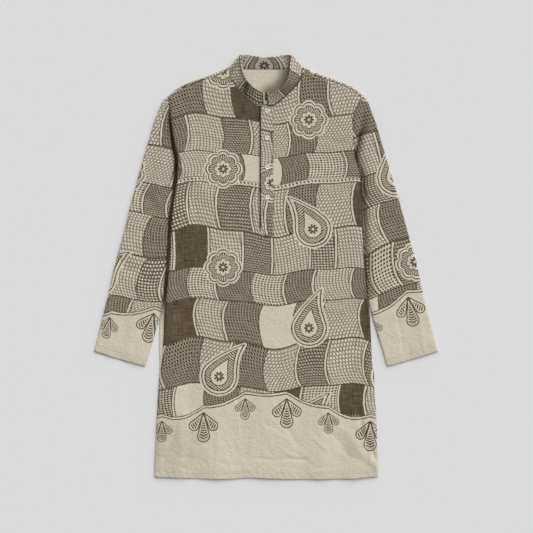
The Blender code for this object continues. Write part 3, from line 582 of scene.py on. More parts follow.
def shoulder_seam(fraction):
    """Forward shoulder seam, in front of the fold and ending on the armhole edge."""
    fraction = np.atleast_1d(fraction)
    ahead = along(SHOULDER_LINE, np.minimum(fraction + SEAM_STEP, 1.0))
    behind = along(SHOULDER_LINE, np.maximum(fraction - SEAM_STEP, 0.0))
    run = ahead - behind
    run /= np.linalg.norm(run, axis=1)[:, None]
    square_end = np.clip(fraction / NECK_END_SHARE, 0.0, 1.0)
    inward = np.column_stack([run[:, 1] * square_end, -run[:, 0]])
    inward /= np.linalg.norm(inward, axis=1)[:, None]
    return along(SHOULDER_LINE, fraction) + FORWARD_SEAM * inward


def seam_at(side, fractions):
    """Shoulder seam of one side, its last point moved onto the armhole edge."""
    points = shoulder_seam(fractions)
    points[:, 0] *= side
    shift = body_edge(side, points[-1, 1]) - points[-1, 0]
    share = grown(np.asarray(fractions), SEAM_SHIFT_FROM, 1 - SEAM_SHIFT_FROM)
    points[:, 0] += shift * share**2
    return points


def fold_height(x, y, folds):
    """Sum of the soft ridges and troughs at a point. A fold may bow to one side."""
    total = np.zeros(np.broadcast(x, y).shape)
    for fold in folds:
        run = np.array([fold["x1"] - fold["x0"], fold["y1"] - fold["y0"]])
        length = np.hypot(*run)
        run /= length
        reach = (x - fold["x0"]) * run[0] + (y - fold["y0"]) * run[1]
        aside = (y - fold["y0"]) * run[0] - (x - fold["x0"]) * run[1]
        share = np.clip(reach / length, 0.0, 1.0)
        aside = aside - 4 * fold.get("bow", 0.0) * share * (1 - share)
        beyond = np.maximum(np.maximum(-reach, reach - length), 0.0)
        spread_out = (aside / fold["width"]) ** 2 + (beyond / (2 * fold["width"])) ** 2
        total += fold["height"] * np.exp(-spread_out)
    return total


def crumple(x, y, seed):
    """Slight unevenness of pressed linen."""
    shape = np.broadcast(x, y).shape
    flat = zip(np.broadcast_to(x, shape).ravel(), np.broadcast_to(y, shape).ravel())
    values = []
    for px, py in flat:
        value = 0.0
        for wide, tall, stretch, height in SWELLS:
            value += height * noise.noise((px / wide, py / tall, seed + stretch))
        line, patch = (
            noise.noise((px / wide, py / tall, seed + stretch))
            for wide, tall, stretch in (LINE_CELL, LINE_PATCH)
        )
        crease = max(0.0, 1 - LINE_SHARPNESS * abs(line)) * max(0.0, patch + LINE_PATCH_MORE)
        values.append(value - LINE_DEPTH * crease)
    return np.array(values).reshape(shape)


def front_height(x, y):
    """Top of the front panel's solid above the ground, without its rounded side edges."""
    x = np.asarray(x, float)
    y = np.asarray(y, float)
    half = np.where(x < 0, BODY_EDGE_X[-1](y), BODY_EDGE_X[1](y))
    from_edge = np.maximum(half - np.abs(x), 0.0)
    upper = 1 + np.exp((UPPER_FULLNESS_FROM - y) / UPPER_FULLNESS_RUN)
    fullness = FULLNESS + UPPER_FULLNESS / upper
    height = LEVEL + fullness * np.exp(-((from_edge / FULLNESS_REACH) ** 2))
    height = height + fold_height(x, y, rows_of(FRONT_FOLDS))
    height = np.clip(height, LOWEST, HIGHEST)
    seam_y = np.interp(np.abs(x), SHOULDER_LINE[:, 0], SHOULDER_LINE[:, 1]) - FORWARD_SEAM
    near_seam = np.exp(-((np.maximum(seam_y - y, 0.0) / SEAM_REACH) ** 2))
    from_neck = np.maximum(np.hypot(x, y - NECK_MIDDLE_Y) - NECK_RADIUS, 0.0)
    near_neck = np.exp(-((from_neck / NECK_REACH) ** 2))
    settled = np.maximum(near_seam, near_neck * NECK_SHARE)
    return height + (SEAM_LEVEL - height) * settled


def hem_pucker(x, up):
    """Short waves that the hem's seam draws into its band, stronger here and there."""
    wander = PUCKER_WANDER * np.sin(x / PUCKER_WANDER_PITCH)
    waves = np.sin((x + PUCKER_LEAN * up) / PUCKER_PITCH + wander)
    swell = 0.5 + 0.5 * np.sin(x / PUCKER_SWELL_PITCH + 1.0)
    near = np.exp(-(((up - HEM_BAND + PUCKER_INSIDE) / PUCKER_REACH) ** 2))
    return PUCKER * (waves * swell * near)


def banded(height, up, band, droop, pucker=0.0):
    """A height with a turned band along its edge: a step, a sewn dip and a droop."""
    step = BAND_RISE / (1 + np.exp(np.minimum((up - band) / BAND_STEP, STEP_END)))
    dip = BAND_DIP * np.exp(-(((up - band + BAND_DIP_INSIDE) / BAND_DIP_WIDTH) ** 2))
    return height + step - dip + pucker - droop * np.exp(-((up / DROOP_REACH) ** 2))


def cloth_height(x, y):
    """The front's visible surface: its solid with creases, crumple, hem and puckers."""
    x = np.asarray(x, float)
    y = np.asarray(y, float)
    fine = CREASE_DEPTH * fold_height(x, y, rows_of(CREASES)) + crumple(x, y, FRONT_CRUMPLE)
    fine = fine + FOLD_DEPTH * fold_height(x, y, rows_of(FRONT_FOLDS))
    beside = grown(np.abs(x - PLACKET_MIDDLE_X), *BESIDE_PLACKET)
    below = grown(OVER_BOTTOM - y, *BELOW_PLACKET)
    free = np.maximum(beside, below) * grown(np.hypot(x, y - NECK_MIDDLE_Y), *BELOW_NECK)
    up = y - HEM_Y(x)
    return banded(front_height(x, y) + fine * free, up, HEM_BAND, HEM_DROOP, hem_pucker(x, up))


# Beside the painted dark line of a deep fold the painted shade fades over a wider strip:
# its share of the line's own painted shade, and its reach over the sleeve and over the
# body. Past the line's end, this share of the squared distance counts.
SOFT_SHADE = {-1: (0.5, 7.0, 6.0), 1: (0.85, 13.0, 6.5)}
PAST_LINE_END = 0.1


def painted_fold_shade(x, y, sides=(-1, 1)):
    """Painted shade of the fold beside the body, put into the cloth's colour, from 0 to 1."""
    shade = np.zeros(np.broadcast(x, y).shape)
    for side in sides:
        line = catmull_rom(np.array(PAINTED_FOLD_SHADE[side][1:]), per_span=4)
        order = np.argsort(line[:, 1])
        at_x, width, depth = (np.interp(y, line[order, 1], line[order, k]) for k in (0, 2, 3))
        beyond = np.maximum(np.maximum(y - line[order[-1], 1], line[order[0], 1] - y), 0.0)
        away = np.sqrt((x - at_x) ** 2 + beyond**2 * PAST_LINE_END)
        part, over_sleeve, over_body = SOFT_SHADE[side]
        reach = np.where(side * (x - at_x) > 0, over_sleeve, over_body)
        soft = part * depth * np.exp(-((away / reach) ** 2))
        shade = np.maximum(shade, np.maximum(soft, depth * np.exp(-((away / width) ** 4))))
    return shade


# Soft patches of painted shade on the front: middle, half sizes and loss.
PAINTED_FALL_SHADE = (
    ("x", "y", "wide", "tall", "depth"),
    (-222.0, -432.0, 58.0, 74.0, 0.11),
    (-212.0, -424.0, 12.0, 46.0, 0.18),
    (-258.0, -440.0, 8.0, 60.0, 0.16),
    (-182.0, -446.0, 10.0, 34.0, 0.13),
    (232.0, -404.0, 6.5, 34.0, 0.17),
    (248.0, -442.0, 6.0, 24.0, 0.15),
    (198.0, -446.0, 9.0, 20.0, 0.04),
    (268.0, -450.0, 12.0, 60.0, 0.05),
)
# Painted shade along the slot's edge, and on the back inside the neck, which falls off
# sharply. The back takes this share of the painted fold shade.
SLOT_SHADE = 0.9
SLOT_SHADE_WIDTH = 2.6
NECK_SHADE = 0.66
NECK_SHADE_WIDTH = 26.0
NECK_SHADE_FALL = 3.5
BACK_SHADE = 0.9


def soft_shade(x, y):
    """Painted shade in soft patches on the front and along the placket's slot."""
    shade = np.zeros(np.broadcast(x, y).shape)
    for fall in rows_of(PAINTED_FALL_SHADE):
        away = ((x - fall["x"]) / fall["wide"]) ** 2 + ((y - fall["y"]) / fall["tall"]) ** 2
        shade = np.maximum(shade, fall["depth"] * np.exp(-(away**2)))
    slot = np.exp(-(((x - SLOT_LEFT) / SLOT_SHADE_WIDTH) ** 2)) * (y > SLOT_BOTTOM)
    return np.maximum(shade, SLOT_SHADE * slot)


def neck_shade(x, y):
    """Painted shade below the collar's free edge on the back's inner side, from 0 to 1."""
    edge = catmull_rom(points_of(COLLAR_FRONT, "top_x", "top_y"))
    away = np.hypot(x[..., None] - edge[:, 0], y[..., None] - edge[:, 1]).min(axis=-1)
    return NECK_SHADE * np.exp(-((away / NECK_SHADE_WIDTH) ** NECK_SHADE_FALL))


def add_object(name, data):
    """A new object at the origin."""
    made = bpy.data.objects.new(name, data)
    bpy.context.scene.collection.objects.link(made)
    return made


# Points of a shell's grids are one where they round to the same step, this many to a
# millimetre. A sheet that faces up is turned away from a point far below it, and the
# back, which faces down, from one far above.
WELD_STEPS = 200
FAR_BELOW = (0.0, 0.0, -4000.0)
FAR_ABOVE = (0.0, 0.0, 4000.0)


def joined(patches):
    """Grids made one mesh: points, their painted shade, faces and their places on cloth."""
    index = {}
    points = []
    shades = []
    faces = []
    flats = []
    for grid, flat, shade in patches:
        rows, cols = grid.shape[:2]
        ids = np.empty((rows, cols), int)
        keys = np.round(grid * WELD_STEPS).astype(int)
        for i in range(rows):
            for j in range(cols):
                key = tuple(keys[i, j])
                if key not in index:
                    index[key] = len(points)
                    points.append(grid[i, j])
                    shades.append(shade[i, j])
                ids[i, j] = index[key]
        for i in range(rows - 1):
            for j in range(cols - 1):
                corners = ((i, j), (i, j + 1), (i + 1, j + 1), (i + 1, j))
                face = {ids[c]: flat[c] for c in corners}
                if len(face) > 2:
                    faces.append(list(face))
                    flats += face.values()
    return np.array(points), shades, faces, np.array(flats)


def shell(name, patches, wall, inside, materials, offset=-1.0):
    """A thin sheet on grids, each given as points, places on the cloth and painted shade.

    The faces turn away from the point inside, and Solidify gives the wall. The inner
    side takes the second material where there is one.
    """
    points, shades, faces, flats = joined(patches)
    mesh = bpy.data.meshes.new(name)
    mesh.from_pydata((points * MM).tolist(), [], faces)
    layer = mesh.uv_layers.new(name="cloth")
    layer.data.foreach_set("uv", (flats * MM).ravel())
    # The points carry the painted shade that the cloth's material mixes into its colour.
    mesh.attributes.new("shade", "FLOAT", "POINT").data.foreach_set("value", shades)
    work = bmesh.new()
    work.from_mesh(mesh)
    bmesh.ops.recalc_face_normals(work, faces=work.faces)
    centre = Vector(inside) * MM
    outward = sum(f.calc_area() * f.normal.dot(f.calc_center_median() - centre) for f in work.faces)
    if outward < 0:
        bmesh.ops.reverse_faces(work, faces=work.faces)
    work.to_mesh(mesh)
    work.free()
    mesh.shade_smooth()
    for material in materials:
        mesh.materials.append(material)
    made = add_object(name, mesh)
    solid = made.modifiers.new("wall", "SOLIDIFY")
    solid.thickness = wall * MM
    solid.offset = offset
    solid.material_offset = len(materials) - 1
    solid.material_offset_rim = 0
    return made


def neck_edge():
    """Edge of the front panel round the neck, from the slot to the shoulder seam."""
    foot = points_of(COLLAR_FRONT, "foot_x", "foot_y")
    edge = offset_line(foot, -NECK_CLEARANCE)
    return catmull_rom(np.vstack([edge, shoulder_seam([0.0])[0]]))


# Rows and columns are 3 to 4 mm apart, so that a crease has room for its slopes.
CHEST_Y = 150.0
CHEST_ROWS = 56
SIDE_AT_NECK_FOOT = 322.0
NECK_SHARES = spread(0.0, (14, 0.28), (16, 1.0))
EDGE_STEPS = np.radians(spread(90.0, (6, 0.0)))
FRONT_COLUMNS = 64
SLOT_COLUMNS = 8
NECK_COLUMNS = 24
SHOULDER_SHARES = spread(0.0, (40, 1.0))
ROLL_TURNS = np.radians(spread(-90.0, (10, 90.0)))[1:]
# Rows above the front's hem band and above the back's hem, as steps up to a height.
FRONT_STOPS = ((50, -320.0), (20, SLIT_TOP_Y), (78, SLOT_BOTTOM), (14, CHEST_Y))
BACK_STOPS = ((4, -262.0), (1, SLIT_TOP_Y), (30, -60.0), (14, 160.0), (8, 257.0))
BACK_TOP_ROWS = 40


def body_rows(hem_y):
    """Heights of the front's rows, from the hem up to the chest."""
    band_y = hem_y + HEM_BAND
    return spread(hem_y, (6, band_y), (1, band_y + 2.0), *FRONT_STOPS)


def front_half(side, slot_x):
    """The front between the slot's edge and the side edge."""
    edge_top = seam_at(side, SHOULDER_SHARES)[-1, 1]
    neck = along(neck_edge(), NECK_SHARES)
    chest = spread(CHEST_Y, (CHEST_ROWS, neck[0, 1]))[1:]
    middle = np.concatenate([body_rows(HEM_Y(slot_x)), chest])
    chest = spread(CHEST_Y, (CHEST_ROWS, SIDE_AT_NECK_FOOT))[1:]
    armhole = (SIDE_AT_NECK_FOOT + NECK_SHARES * (edge_top - SIDE_AT_NECK_FOOT))[1:]
    outer = np.concatenate([body_rows(HEM_Y(body_edge(side, SIDE_HEM_Y))), chest, armhole])
    west = np.array([(slot_x, y) for y in middle] + [(side * x, y) for x, y in neck[1:]])
    east = np.array([(body_edge(side, y), y) for y in outer])
    run = run_of(west)
    width = np.linalg.norm(east - west, axis=1)
    inset = EDGE_ROUND * (1 - np.cos(EDGE_STEPS))
    plain = spread(0.0, (FRONT_COLUMNS, 1.0))[:-1]
    start = 1 - EDGE_ROUND / width
    u = np.hstack([plain[None, :] * start[:, None], 1 - inset[None, :] / width[:, None]])
    south_x = u[0] * (east[0, 0] - west[0, 0]) + west[0, 0]
    south = np.column_stack([south_x, HEM_Y(south_x)])
    north = along(seam_at(side, SHOULDER_SHARES), u[-1])
    plan = coons(west, east, south, north, u, run / run[-1])
    rise = np.concatenate([np.ones(FRONT_COLUMNS), np.sin(EDGE_STEPS)])
    top = cloth_height(plan[..., 0], plan[..., 1])
    z = SEAM_FOOT + (top - SEAM_FOOT) * rise[None, :]
    return np.dstack([plan, z])


def make_front(materials):
    """The front: a half on each side of the slot, and the strip below the slot."""
    left = front_half(-1, SLOT_LEFT)
    right = front_half(1, SLOT_RIGHT)
    rows = int(np.argmin(np.abs(left[:, 0, 1] - SLOT_BOTTOM))) + 1
    west = left[:rows, 0]
    east = right[:rows, 0]
    shares = spread(0.0, (SLOT_COLUMNS, 1.0))[None, :, None]
    strip = west[:, None, :] + shares * (east - west)[:, None, :]
    fade = np.linspace(1.0, 0.0, rows)[:, None] ** 4
    strip[:, 1:-1, 1] += fade * (HEM_Y(strip[0, 1:-1, 0]) - strip[0, 1:-1, 1])[None, :]
    strip[:, 1:-1, 2] = cloth_height(strip[:, 1:-1, 0], strip[:, 1:-1, 1])
    patches = []
    for grid in (left, right, strip):
        x, y = grid[..., 0], grid[..., 1]
        # Painted shade: the deep folds, the soft patches and along the slot.
        patches.append((grid, grid[..., :2], np.maximum(painted_fold_shade(x, y), soft_shade(x, y))))
    return shell("front_cloth", patches, WALL, FAR_BELOW, materials)


def back_half(side):
    """Flat part of the back, from its middle line to one side."""
    step = smooth_value(BACK_STEP, "y", side_name(side))
    neck = points_of(COLLAR_BACK, "foot_x", "foot_y")[::-1]
    neck = catmull_rom(np.vstack([neck, BACK_NECK_END]))
    neck[:, 1] -= NECK_CLEARANCE
    neck = along(neck, spread(0.0, (NECK_COLUMNS, 1.0)))
    shoulder = along(SHOULDER_LINE, SHOULDER_SHARES)
    inward = (shoulder_seam(SHOULDER_SHARES) - shoulder) / FORWARD_SEAM
    top = np.vstack([neck, shoulder + ROLL_RADIUS * inward])
    top[:, 0] *= side
    side_y, middle_y = (
        spread(HEM_Y(hem_x) + BACK_SHORTER, *BACK_STOPS, (BACK_TOP_ROWS, top_y))
        for hem_x, top_y in ((body_edge(side, SIDE_HEM_Y), top[-1, 1]), (0.0, top[0, 1]))
    )
    east = np.array([(side * (BODY_EDGE_X[side](y) + step(y)), y) for y in side_y])
    east[-1] = top[-1]
    west = np.array([(0.0, y) for y in middle_y])
    u = np.abs(top[:, 0]) / abs(top[-1, 0])
    south = np.column_stack([u * east[0, 0], HEM_Y(u * east[0, 0]) + BACK_SHORTER])
    v = (middle_y - middle_y[0]) / (middle_y[-1] - middle_y[0])
    plan = coons(west, east, south, top, u, v)
    return np.dstack([plan, np.zeros(plan.shape[:2])])


def shoulder_roll(side, turn):
    """The back's stretch over the shoulder fold, as far as the forward seam."""
    fold = along(SHOULDER_LINE, SHOULDER_SHARES)
    fold[:, 0] *= side
    inward = seam_at(side, SHOULDER_SHARES) - fold
    reach = np.linalg.norm(inward, axis=1)
    inward /= reach[:, None]
    rows = [turn]
    for angle in ROLL_TURNS:
        plan = fold + ROLL_RADIUS * (1 - math.cos(angle)) * inward
        height = ROLL_RADIUS * (1 + math.sin(angle))
        rows.append(np.column_stack([plan, np.full(len(plan), height)]))
    last = fold + (reach - SEAM_GAP)[:, None] * inward
    rows.append(np.column_stack([last, np.full(len(last), SEAM_LEVEL)]))
    return np.array(rows)


def opened_out(roll):
    """The stretch over the shoulder as it lies on the cloth before it is folded."""
    steps = np.linalg.norm(np.diff(roll, axis=0, prepend=roll[:1]), axis=2)
    outward = (roll[1] - roll[0])[:, :2]
    outward /= np.linalg.norm(outward, axis=1)[:, None]
    return roll[0, :, :2] + np.cumsum(steps, axis=0)[..., None] * outward


# Where the back was cut from the printed cloth.
BACK_PRINT = (610.0, 0.0)


def make_back(materials):
    """The back: two flat halves, each with its roll over the shoulder."""
    patches = []
    for side in (-1, 1):
        flat = back_half(side)
        roll = shoulder_roll(side, flat[-1, NECK_COLUMNS + 1 :])
        for grid, places in ((flat, flat[..., :2]), (roll, opened_out(roll))):
            x, y = grid[..., 0], grid[..., 1]
            lying = grid[..., 2] == 0.0
            # Painted shade of the folds, a little lighter, and below the collar where it lies flat.
            shade = np.maximum(BACK_SHADE * painted_fold_shade(x, y), neck_shade(x, y) * lying)
            patches.append((grid, places + BACK_PRINT, shade))
    return shell("back_cloth", patches, BACK_WALL, FAR_ABOVE, materials)


# Rows down a sleeve: close at its head, even to the cuff's band, close in the band.
BAND_TOP = SLEEVE_LENGTH - CUFF_BAND
SLEEVE_STOPS = ((5, 13.0), (133, BAND_TOP - 2.0), (1, BAND_TOP), (5, SLEEVE_LENGTH))
SLEEVE_ROWS = spread(0.0, *SLEEVE_STOPS) / SLEEVE_LENGTH
SLEEVE_ARC = np.radians(spread(-90.0, (8, 90.0)))
SLEEVE_OVER = spread(0.0, (42, 1.0))[1:-1]
SLEEVE_UNDER = spread(0.0, (14, 1.0))[1:-1]
ARMHOLE_POINTS = 30
CUFF_SHARES = spread(0.0, (8, 1.0))


def sleeve_edges(side):
    """The four edges of a sleeve in plan."""
    name = side_name(side)
    outer = points_of(SLEEVE_OUTER, name, "y") * (side, 1.0)
    inner = points_of(SLEEVE_INNER, name, "y") * (side, 1.0)
    inner[:, 0] -= side * UNDERARM_TUCK[side] * (inner[:, 1] > UNDERARM_TUCK_END)
    arm_y = np.linspace(ARMHOLE_TOP_Y, UNDERARM_Y[side], ARMHOLE_POINTS)
    armhole = np.column_stack([body_edge(side, arm_y) - side * ARMHOLE_TUCK, arm_y])
    outer = catmull_rom(np.vstack([armhole[:1], outer[1:]]))
    inner = catmull_rom(np.vstack([armhole[-1:], inner[1:]]))
    cuff = outer[-1] + CUFF_SHARES[:, None] * (inner[-1] - outer[-1])
    cuff[:, 1] -= CUFF_BOW * np.sin(math.pi * CUFF_SHARES)
    return outer, inner, armhole, cuff


def sleeve_height(side, x, y, v):
    """Top of the sleeve: low where it meets the armhole, full below, flatter at the cuff."""
    folds = [fold for fold in rows_of(SLEEVE_FOLDS) if fold["side"] == side]
    creases = [fold for fold in rows_of(SLEEVE_CREASES) if fold["side"] == side]
    folded = fold_height(np.abs(x), y, folds)
    lower = grown(v, CUFF_LEVEL_FROM, 1 - CUFF_LEVEL_FROM)
    height = SLEEVE_LEVEL + folded + (CUFF_LEVEL - SLEEVE_LEVEL) * lower
    height = np.clip(height, SLEEVE_LOWEST, HIGHEST)
    head = np.clip(1 - v * SLEEVE_LENGTH / SLEEVE_HEAD_RUN, 0.0, 1.0) ** 2
    height = height + (SLEEVE_HEAD_LEVEL - height) * head
    fine = CREASE_DEPTH * fold_height(np.abs(x), y, creases) + FOLD_DEPTH * folded
    fine = fine + crumple(x, y, SLEEVE_CRUMPLE + side)
    return banded(height + fine * (1 - head), (1 - v) * SLEEVE_LENGTH, CUFF_BAND, CUFF_DROOP)


# Where the middle of each sleeve's cuff edge lies on the printed cloth.
SLEEVE_PRINT = {-1: (395.0, -440.0), 1: (-571.0, -462.0)}
# Painted shade goes only on what stands above this, so the underside stays plain.
UNSHADED_BELOW = 0.5


def make_sleeve(side, materials):
    """One sleeve: a flattened tube from the armhole to the cuff."""
    outer, inner, armhole, cuff = sleeve_edges(side)
    v = SLEEVE_ROWS
    west = along(outer, v)
    east = along(inner, v)
    width = np.linalg.norm(east - west, axis=1)
    inset = SLEEVE_ROUND * (1 - np.cos(SLEEVE_ARC))
    start = SLEEVE_ROUND / width
    span = 1 - 2 * start
    over = start[:, None] + SLEEVE_OVER[None, :] * span[:, None]
    under = 1 - start[:, None] - SLEEVE_UNDER[None, :] * span[:, None]
    rise = inset[None, :] / width[:, None]
    u = np.hstack([rise, over, 1 - rise[:, ::-1], under, rise[:, :1]])
    south = along(armhole, np.clip(u[0], 0.0, 1.0))
    north = along(cuff, np.clip(u[-1], 0.0, 1.0))
    plan = coons(west, east, south, north, u, v)
    plan[:, -1] = plan[:, 0]
    x, y = plan[..., 0], plan[..., 1]
    arc = (1 + np.sin(SLEEVE_ARC)) / 2
    top = np.ones(len(SLEEVE_OVER))
    floor = np.zeros(len(SLEEVE_UNDER) + 1)
    share = np.concatenate([arc, top, arc[::-1], floor])
    z = sleeve_height(side, x, y, v[:, None]) * share[None, :]
    cuff_middle = (outer[-1] + inner[-1]) / 2
    up = (armhole[0] + armhole[-1]) / 2 - cuff_middle
    up /= np.linalg.norm(up)
    off = plan - cuff_middle
    across = off[..., 0] * up[1] - off[..., 1] * up[0]
    # The print goes on round the tube, from the outer edge and back to it underneath.
    steps = np.abs(np.diff(across, axis=1, prepend=across[:, :1]))
    across = across[:, :1] - side * (np.cumsum(steps, axis=1) - 2 * SLEEVE_ROUND)
    length = off[..., 0] * up[0] + off[..., 1] * up[1]
    places = np.dstack([across, length]) + SLEEVE_PRINT[side]
    shade = painted_fold_shade(x, y, (side,)) * (z > UNSHADED_BELOW)
    name = "sleeve_left_cloth" if side > 0 else "sleeve_right_cloth"
    middle = (*plan.reshape(-1, 2).mean(axis=0), SLEEVE_LEVEL / 2)
    return shell(name, [(np.dstack([plan, z]), places, shade)], WALL, middle, materials)


# Where the placket strips were cut from the printed cloth, away from the front.
STRIP_PRINT = (-118.0, 34.0)
STRIP_ROWS = 80
UNDER_COLUMNS = 10
OVER_COLUMNS = 12


def make_strip(name, left, right, bottom, top, lift, columns, materials):
    """A placket strip that follows the front, its underside lifted above the front's top.

    The over strip has a sewn dip along its edges, and the under strip, whose lift is
    down, has painted shade along the slot.
    """
    across, up = spread(left, (columns, right)), spread(0.0, (STRIP_ROWS, 1.0))
    grid_x, share = np.meshgrid(across, up)
    grid_y = bottom + share * (np.interp(grid_x, (left, right), top) - bottom)
    z = front_height(grid_x, grid_y) + lift + STRIP_WALL
    from_seam = np.minimum(grid_x - left, right - grid_x) - OVER_SEAM_INSIDE
    z = z - OVER_SEAM_DIP * np.exp(-((from_seam / OVER_SEAM_WIDTH) ** 2)) * (lift > 0)
    from_slot = np.maximum(grid_x - left, 0.0)
    # Painted shade on the under strip beside the slot.
    shade = np.exp(-((from_slot / UNDER_SHADE_WIDTH) ** 4)) * (lift < 0)
    patch = (np.dstack([grid_x, grid_y, z]), np.dstack([grid_x, grid_y]) + STRIP_PRINT, shade)
    return shell(name, [patch], STRIP_CLOTH, FAR_BELOW, materials)


def collar_stations():
    """Foot and free edge of the collar, from the overlap's end round to the underlap's."""
    feet = []
    tops = []

    def add(foot, top):
        feet.append(foot)
        tops.append(top)

    def front_foot(x, y):
        return (x, y, float(front_height(x, y)) - COLLAR_FOOT_DEPTH)

    end_foot, end_top, end_z = OVERLAP_END
    over_top = float(front_height(*end_foot)) + GAP + STRIP_WALL / 2
    add((*end_foot, over_top), (*end_top, end_z))
    for row in rows_of(COLLAR_FRONT):
        add(front_foot(row["foot_x"], row["foot_y"]), (row["top_x"], row["top_y"], row["top_z"]))
    foot_z = COLLAR_BACK_FOOT_Z + FOLD_RADIUS
    for angle in FOLD_TURNS:
        out = FOLD_RADIUS * math.cos(math.radians(angle))
        up = FOLD_RADIUS * math.sin(math.radians(angle))
        shift = (out * FOLD_OUT[0], out * FOLD_OUT[1])
        foot = (FOLD_FOOT[0] + shift[0], FOLD_FOOT[1] + shift[1], foot_z + up)
        top = (FOLD_TOP[0] + shift[0], FOLD_TOP[1] + shift[1], FOLD_TOP_Z + up)
        add(foot, top)
    for row in rows_of(COLLAR_BACK):
        foot = (row["foot_x"], row["foot_y"], COLLAR_BACK_FOOT_Z)
        add(foot, (row["top_x"], row["top_y"], row["top_z"]))
    front_rows = rows_of(COLLAR_FRONT)
    for k in range(len(feet) - 2, len(front_rows), -1):
        foot, top = feet[k], tops[k]
        add((-foot[0], *foot[1:]), (-top[0], *top[1:]))
    for row in front_rows[:0:-1]:
        top = (row["left_x"], row["left_y"], row["left_z"])
        add(front_foot(-row["foot_x"], row["foot_y"]), top)
    for row in UNDERLAP[1:]:
        add(row[:3], row[3:])
    return np.array(feet), np.array(tops)


def collar_surface():
    """Middle surface of the collar as stations by levels, and how far round each lies."""
    feet, tops = collar_stations()
    both = catmull_rom(np.hstack([feet, tops]), COLLAR_SPAN_STEPS)
    foot, top = both[:, :3], both[:, 3:]
    run = run_of((foot + top) / 2)
    from_end = np.minimum(run, run[-1] - run)
    short = COLLAR_CORNER - np.minimum(from_end, COLLAR_CORNER)
    drop = COLLAR_CORNER - np.sqrt(np.maximum(COLLAR_CORNER**2 - short**2, 0.0))
    reach = 1 - drop / COLLAR_HEIGHT
    up = (top - foot) / np.linalg.norm(top - foot, axis=1)[:, None]
    foot = foot + COLLAR_FOOT_LIFT * up
    levels = spread(0.0, (COLLAR_ROWS, 1.0))[None, :, None] * reach[:, None, None]
    surface = foot[:, None, :] + levels * (top - foot)[:, None, :]
    return surface, run, levels[..., 0] * COLLAR_HEIGHT


# Where the collar was cut from the printed cloth.
COLLAR_PRINT = (2772.0, 1023.0)
# Soft lines of painted shade on the collar, each between two places given as the way
# round and the height: inside its corners, below its free edge on the viewer's left with
# the crease that ends it, and beside the overlap's end.
COLLAR_SHADES = (
    ("from_run", "from_level", "to_run", "to_level", "half_width", "loss"),
    (139.0, 0.0, 139.0, 36.0, 12.0, 0.7),
    (296.0, 0.0, 296.0, 36.0, 7.0, 0.35),
    (286.0, 31.0, 340.0, 31.0, 3.6, 0.6),
    (350.0, 36.0, 354.0, 22.0, 7.5, 0.75),
    (355.0, 22.0, 362.0, 2.0, 3.4, 0.7),
    (413.0, 0.0, 413.0, 36.0, 2.8, 0.85),
)


def collar_shade(run, level):
    """Painted shade of the collar's folds, put into its cloth's colour, from 0 to 1."""
    shade = np.zeros(level.shape)
    for line in rows_of(COLLAR_SHADES):
        across = line["to_run"] - line["from_run"]
        up = line["to_level"] - line["from_level"]
        share = (run - line["from_run"]) * across + (level - line["from_level"]) * up
        share = np.clip(share / (across**2 + up**2), 0.0, 1.0)
        away_run = run - line["from_run"] - share * across
        away_level = level - line["from_level"] - share * up
        away = np.hypot(away_run, away_level) / line["half_width"]
        shade = np.maximum(shade, line["loss"] * np.exp(-(away**2)))
    return shade


# On the front legs the outer side takes the painted shade too, up to these bends.
COLLAR_BENDS = (118.0, 284.0)


def make_collar(side_without_painted_shade, side_with_painted_shade):
    """The standing collar, with painted shade on the outer side of its front legs too."""
    surface, run, level = collar_surface()
    run = np.broadcast_to(run[:, None], level.shape)
    patch = (surface, np.dstack([run, level]) + COLLAR_PRINT, collar_shade(run, level))
    sides = [side_without_painted_shade, side_with_painted_shade, side_with_painted_shade]
    made = shell("collar_cloth", [patch], COLLAR_WALL, COLLAR_INSIDE, sides, 0.0)
    made.modifiers["wall"].material_offset = 1
    places = made.data.uv_layers["cloth"].data
    for face in made.data.polygons:
        way_round = places[face.loop_start].uv.x / MM - COLLAR_PRINT[0]
        face.material_index = int(not COLLAR_BENDS[0] < way_round < COLLAR_BENDS[1])
    return made


MATH = "ShaderNodeMath"
MIX = "ShaderNodeMix"
VECTOR = "ShaderNodeVectorMath"
NOISE = "ShaderNodeTexNoise"
CHANCE = "ShaderNodeTexWhiteNoise"


def hex_colour(code):
    """Linear colour of an sRGB hex code."""
    parts = [int(code[k : k + 2], 16) / 255 for k in (1, 3, 5)]
    return (*[p / 12.92 if p <= 0.04045 else ((p + 0.055) / 1.055) ** 2.4 for p in parts], 1.0)


def node(tree, kind, *values, inputs=None, **settings):
    """Adds one node with its settings, and links or sets its shown sockets in order."""
    made = tree.nodes.new(kind)
    for key, value in settings.items():
        setattr(made, key, value)
    shown = [socket for socket in made.inputs if socket.enabled]
    pairs = list(zip(shown, values))
    pairs += [(made.inputs[key], value) for key, value in (inputs or {}).items()]
    for socket, value in pairs:
        if isinstance(value, bpy.types.Node):
            value = next(out for out in value.outputs if out.enabled)
        if isinstance(value, bpy.types.NodeSocket):
            tree.links.new(value, socket)
        else:
            socket.default_value = value
    return made


# Colours of the cloth and its print, and of the painted shade.
ECRU = "#cac1b0"
# The unprinted inner side is lighter than the printed ground: painted light that lifts the shade
# inside the neck.
REVERSE = "#d1c8b7"
BROWN = "#4f4231"
# The dark colour that painted shade mixes towards, and after it how much more blue than red the
# painted shade takes out.
SHADE = "#22160a"
PAINTED_SHADE_WARMTH = (0.0, 0.05, 0.16)

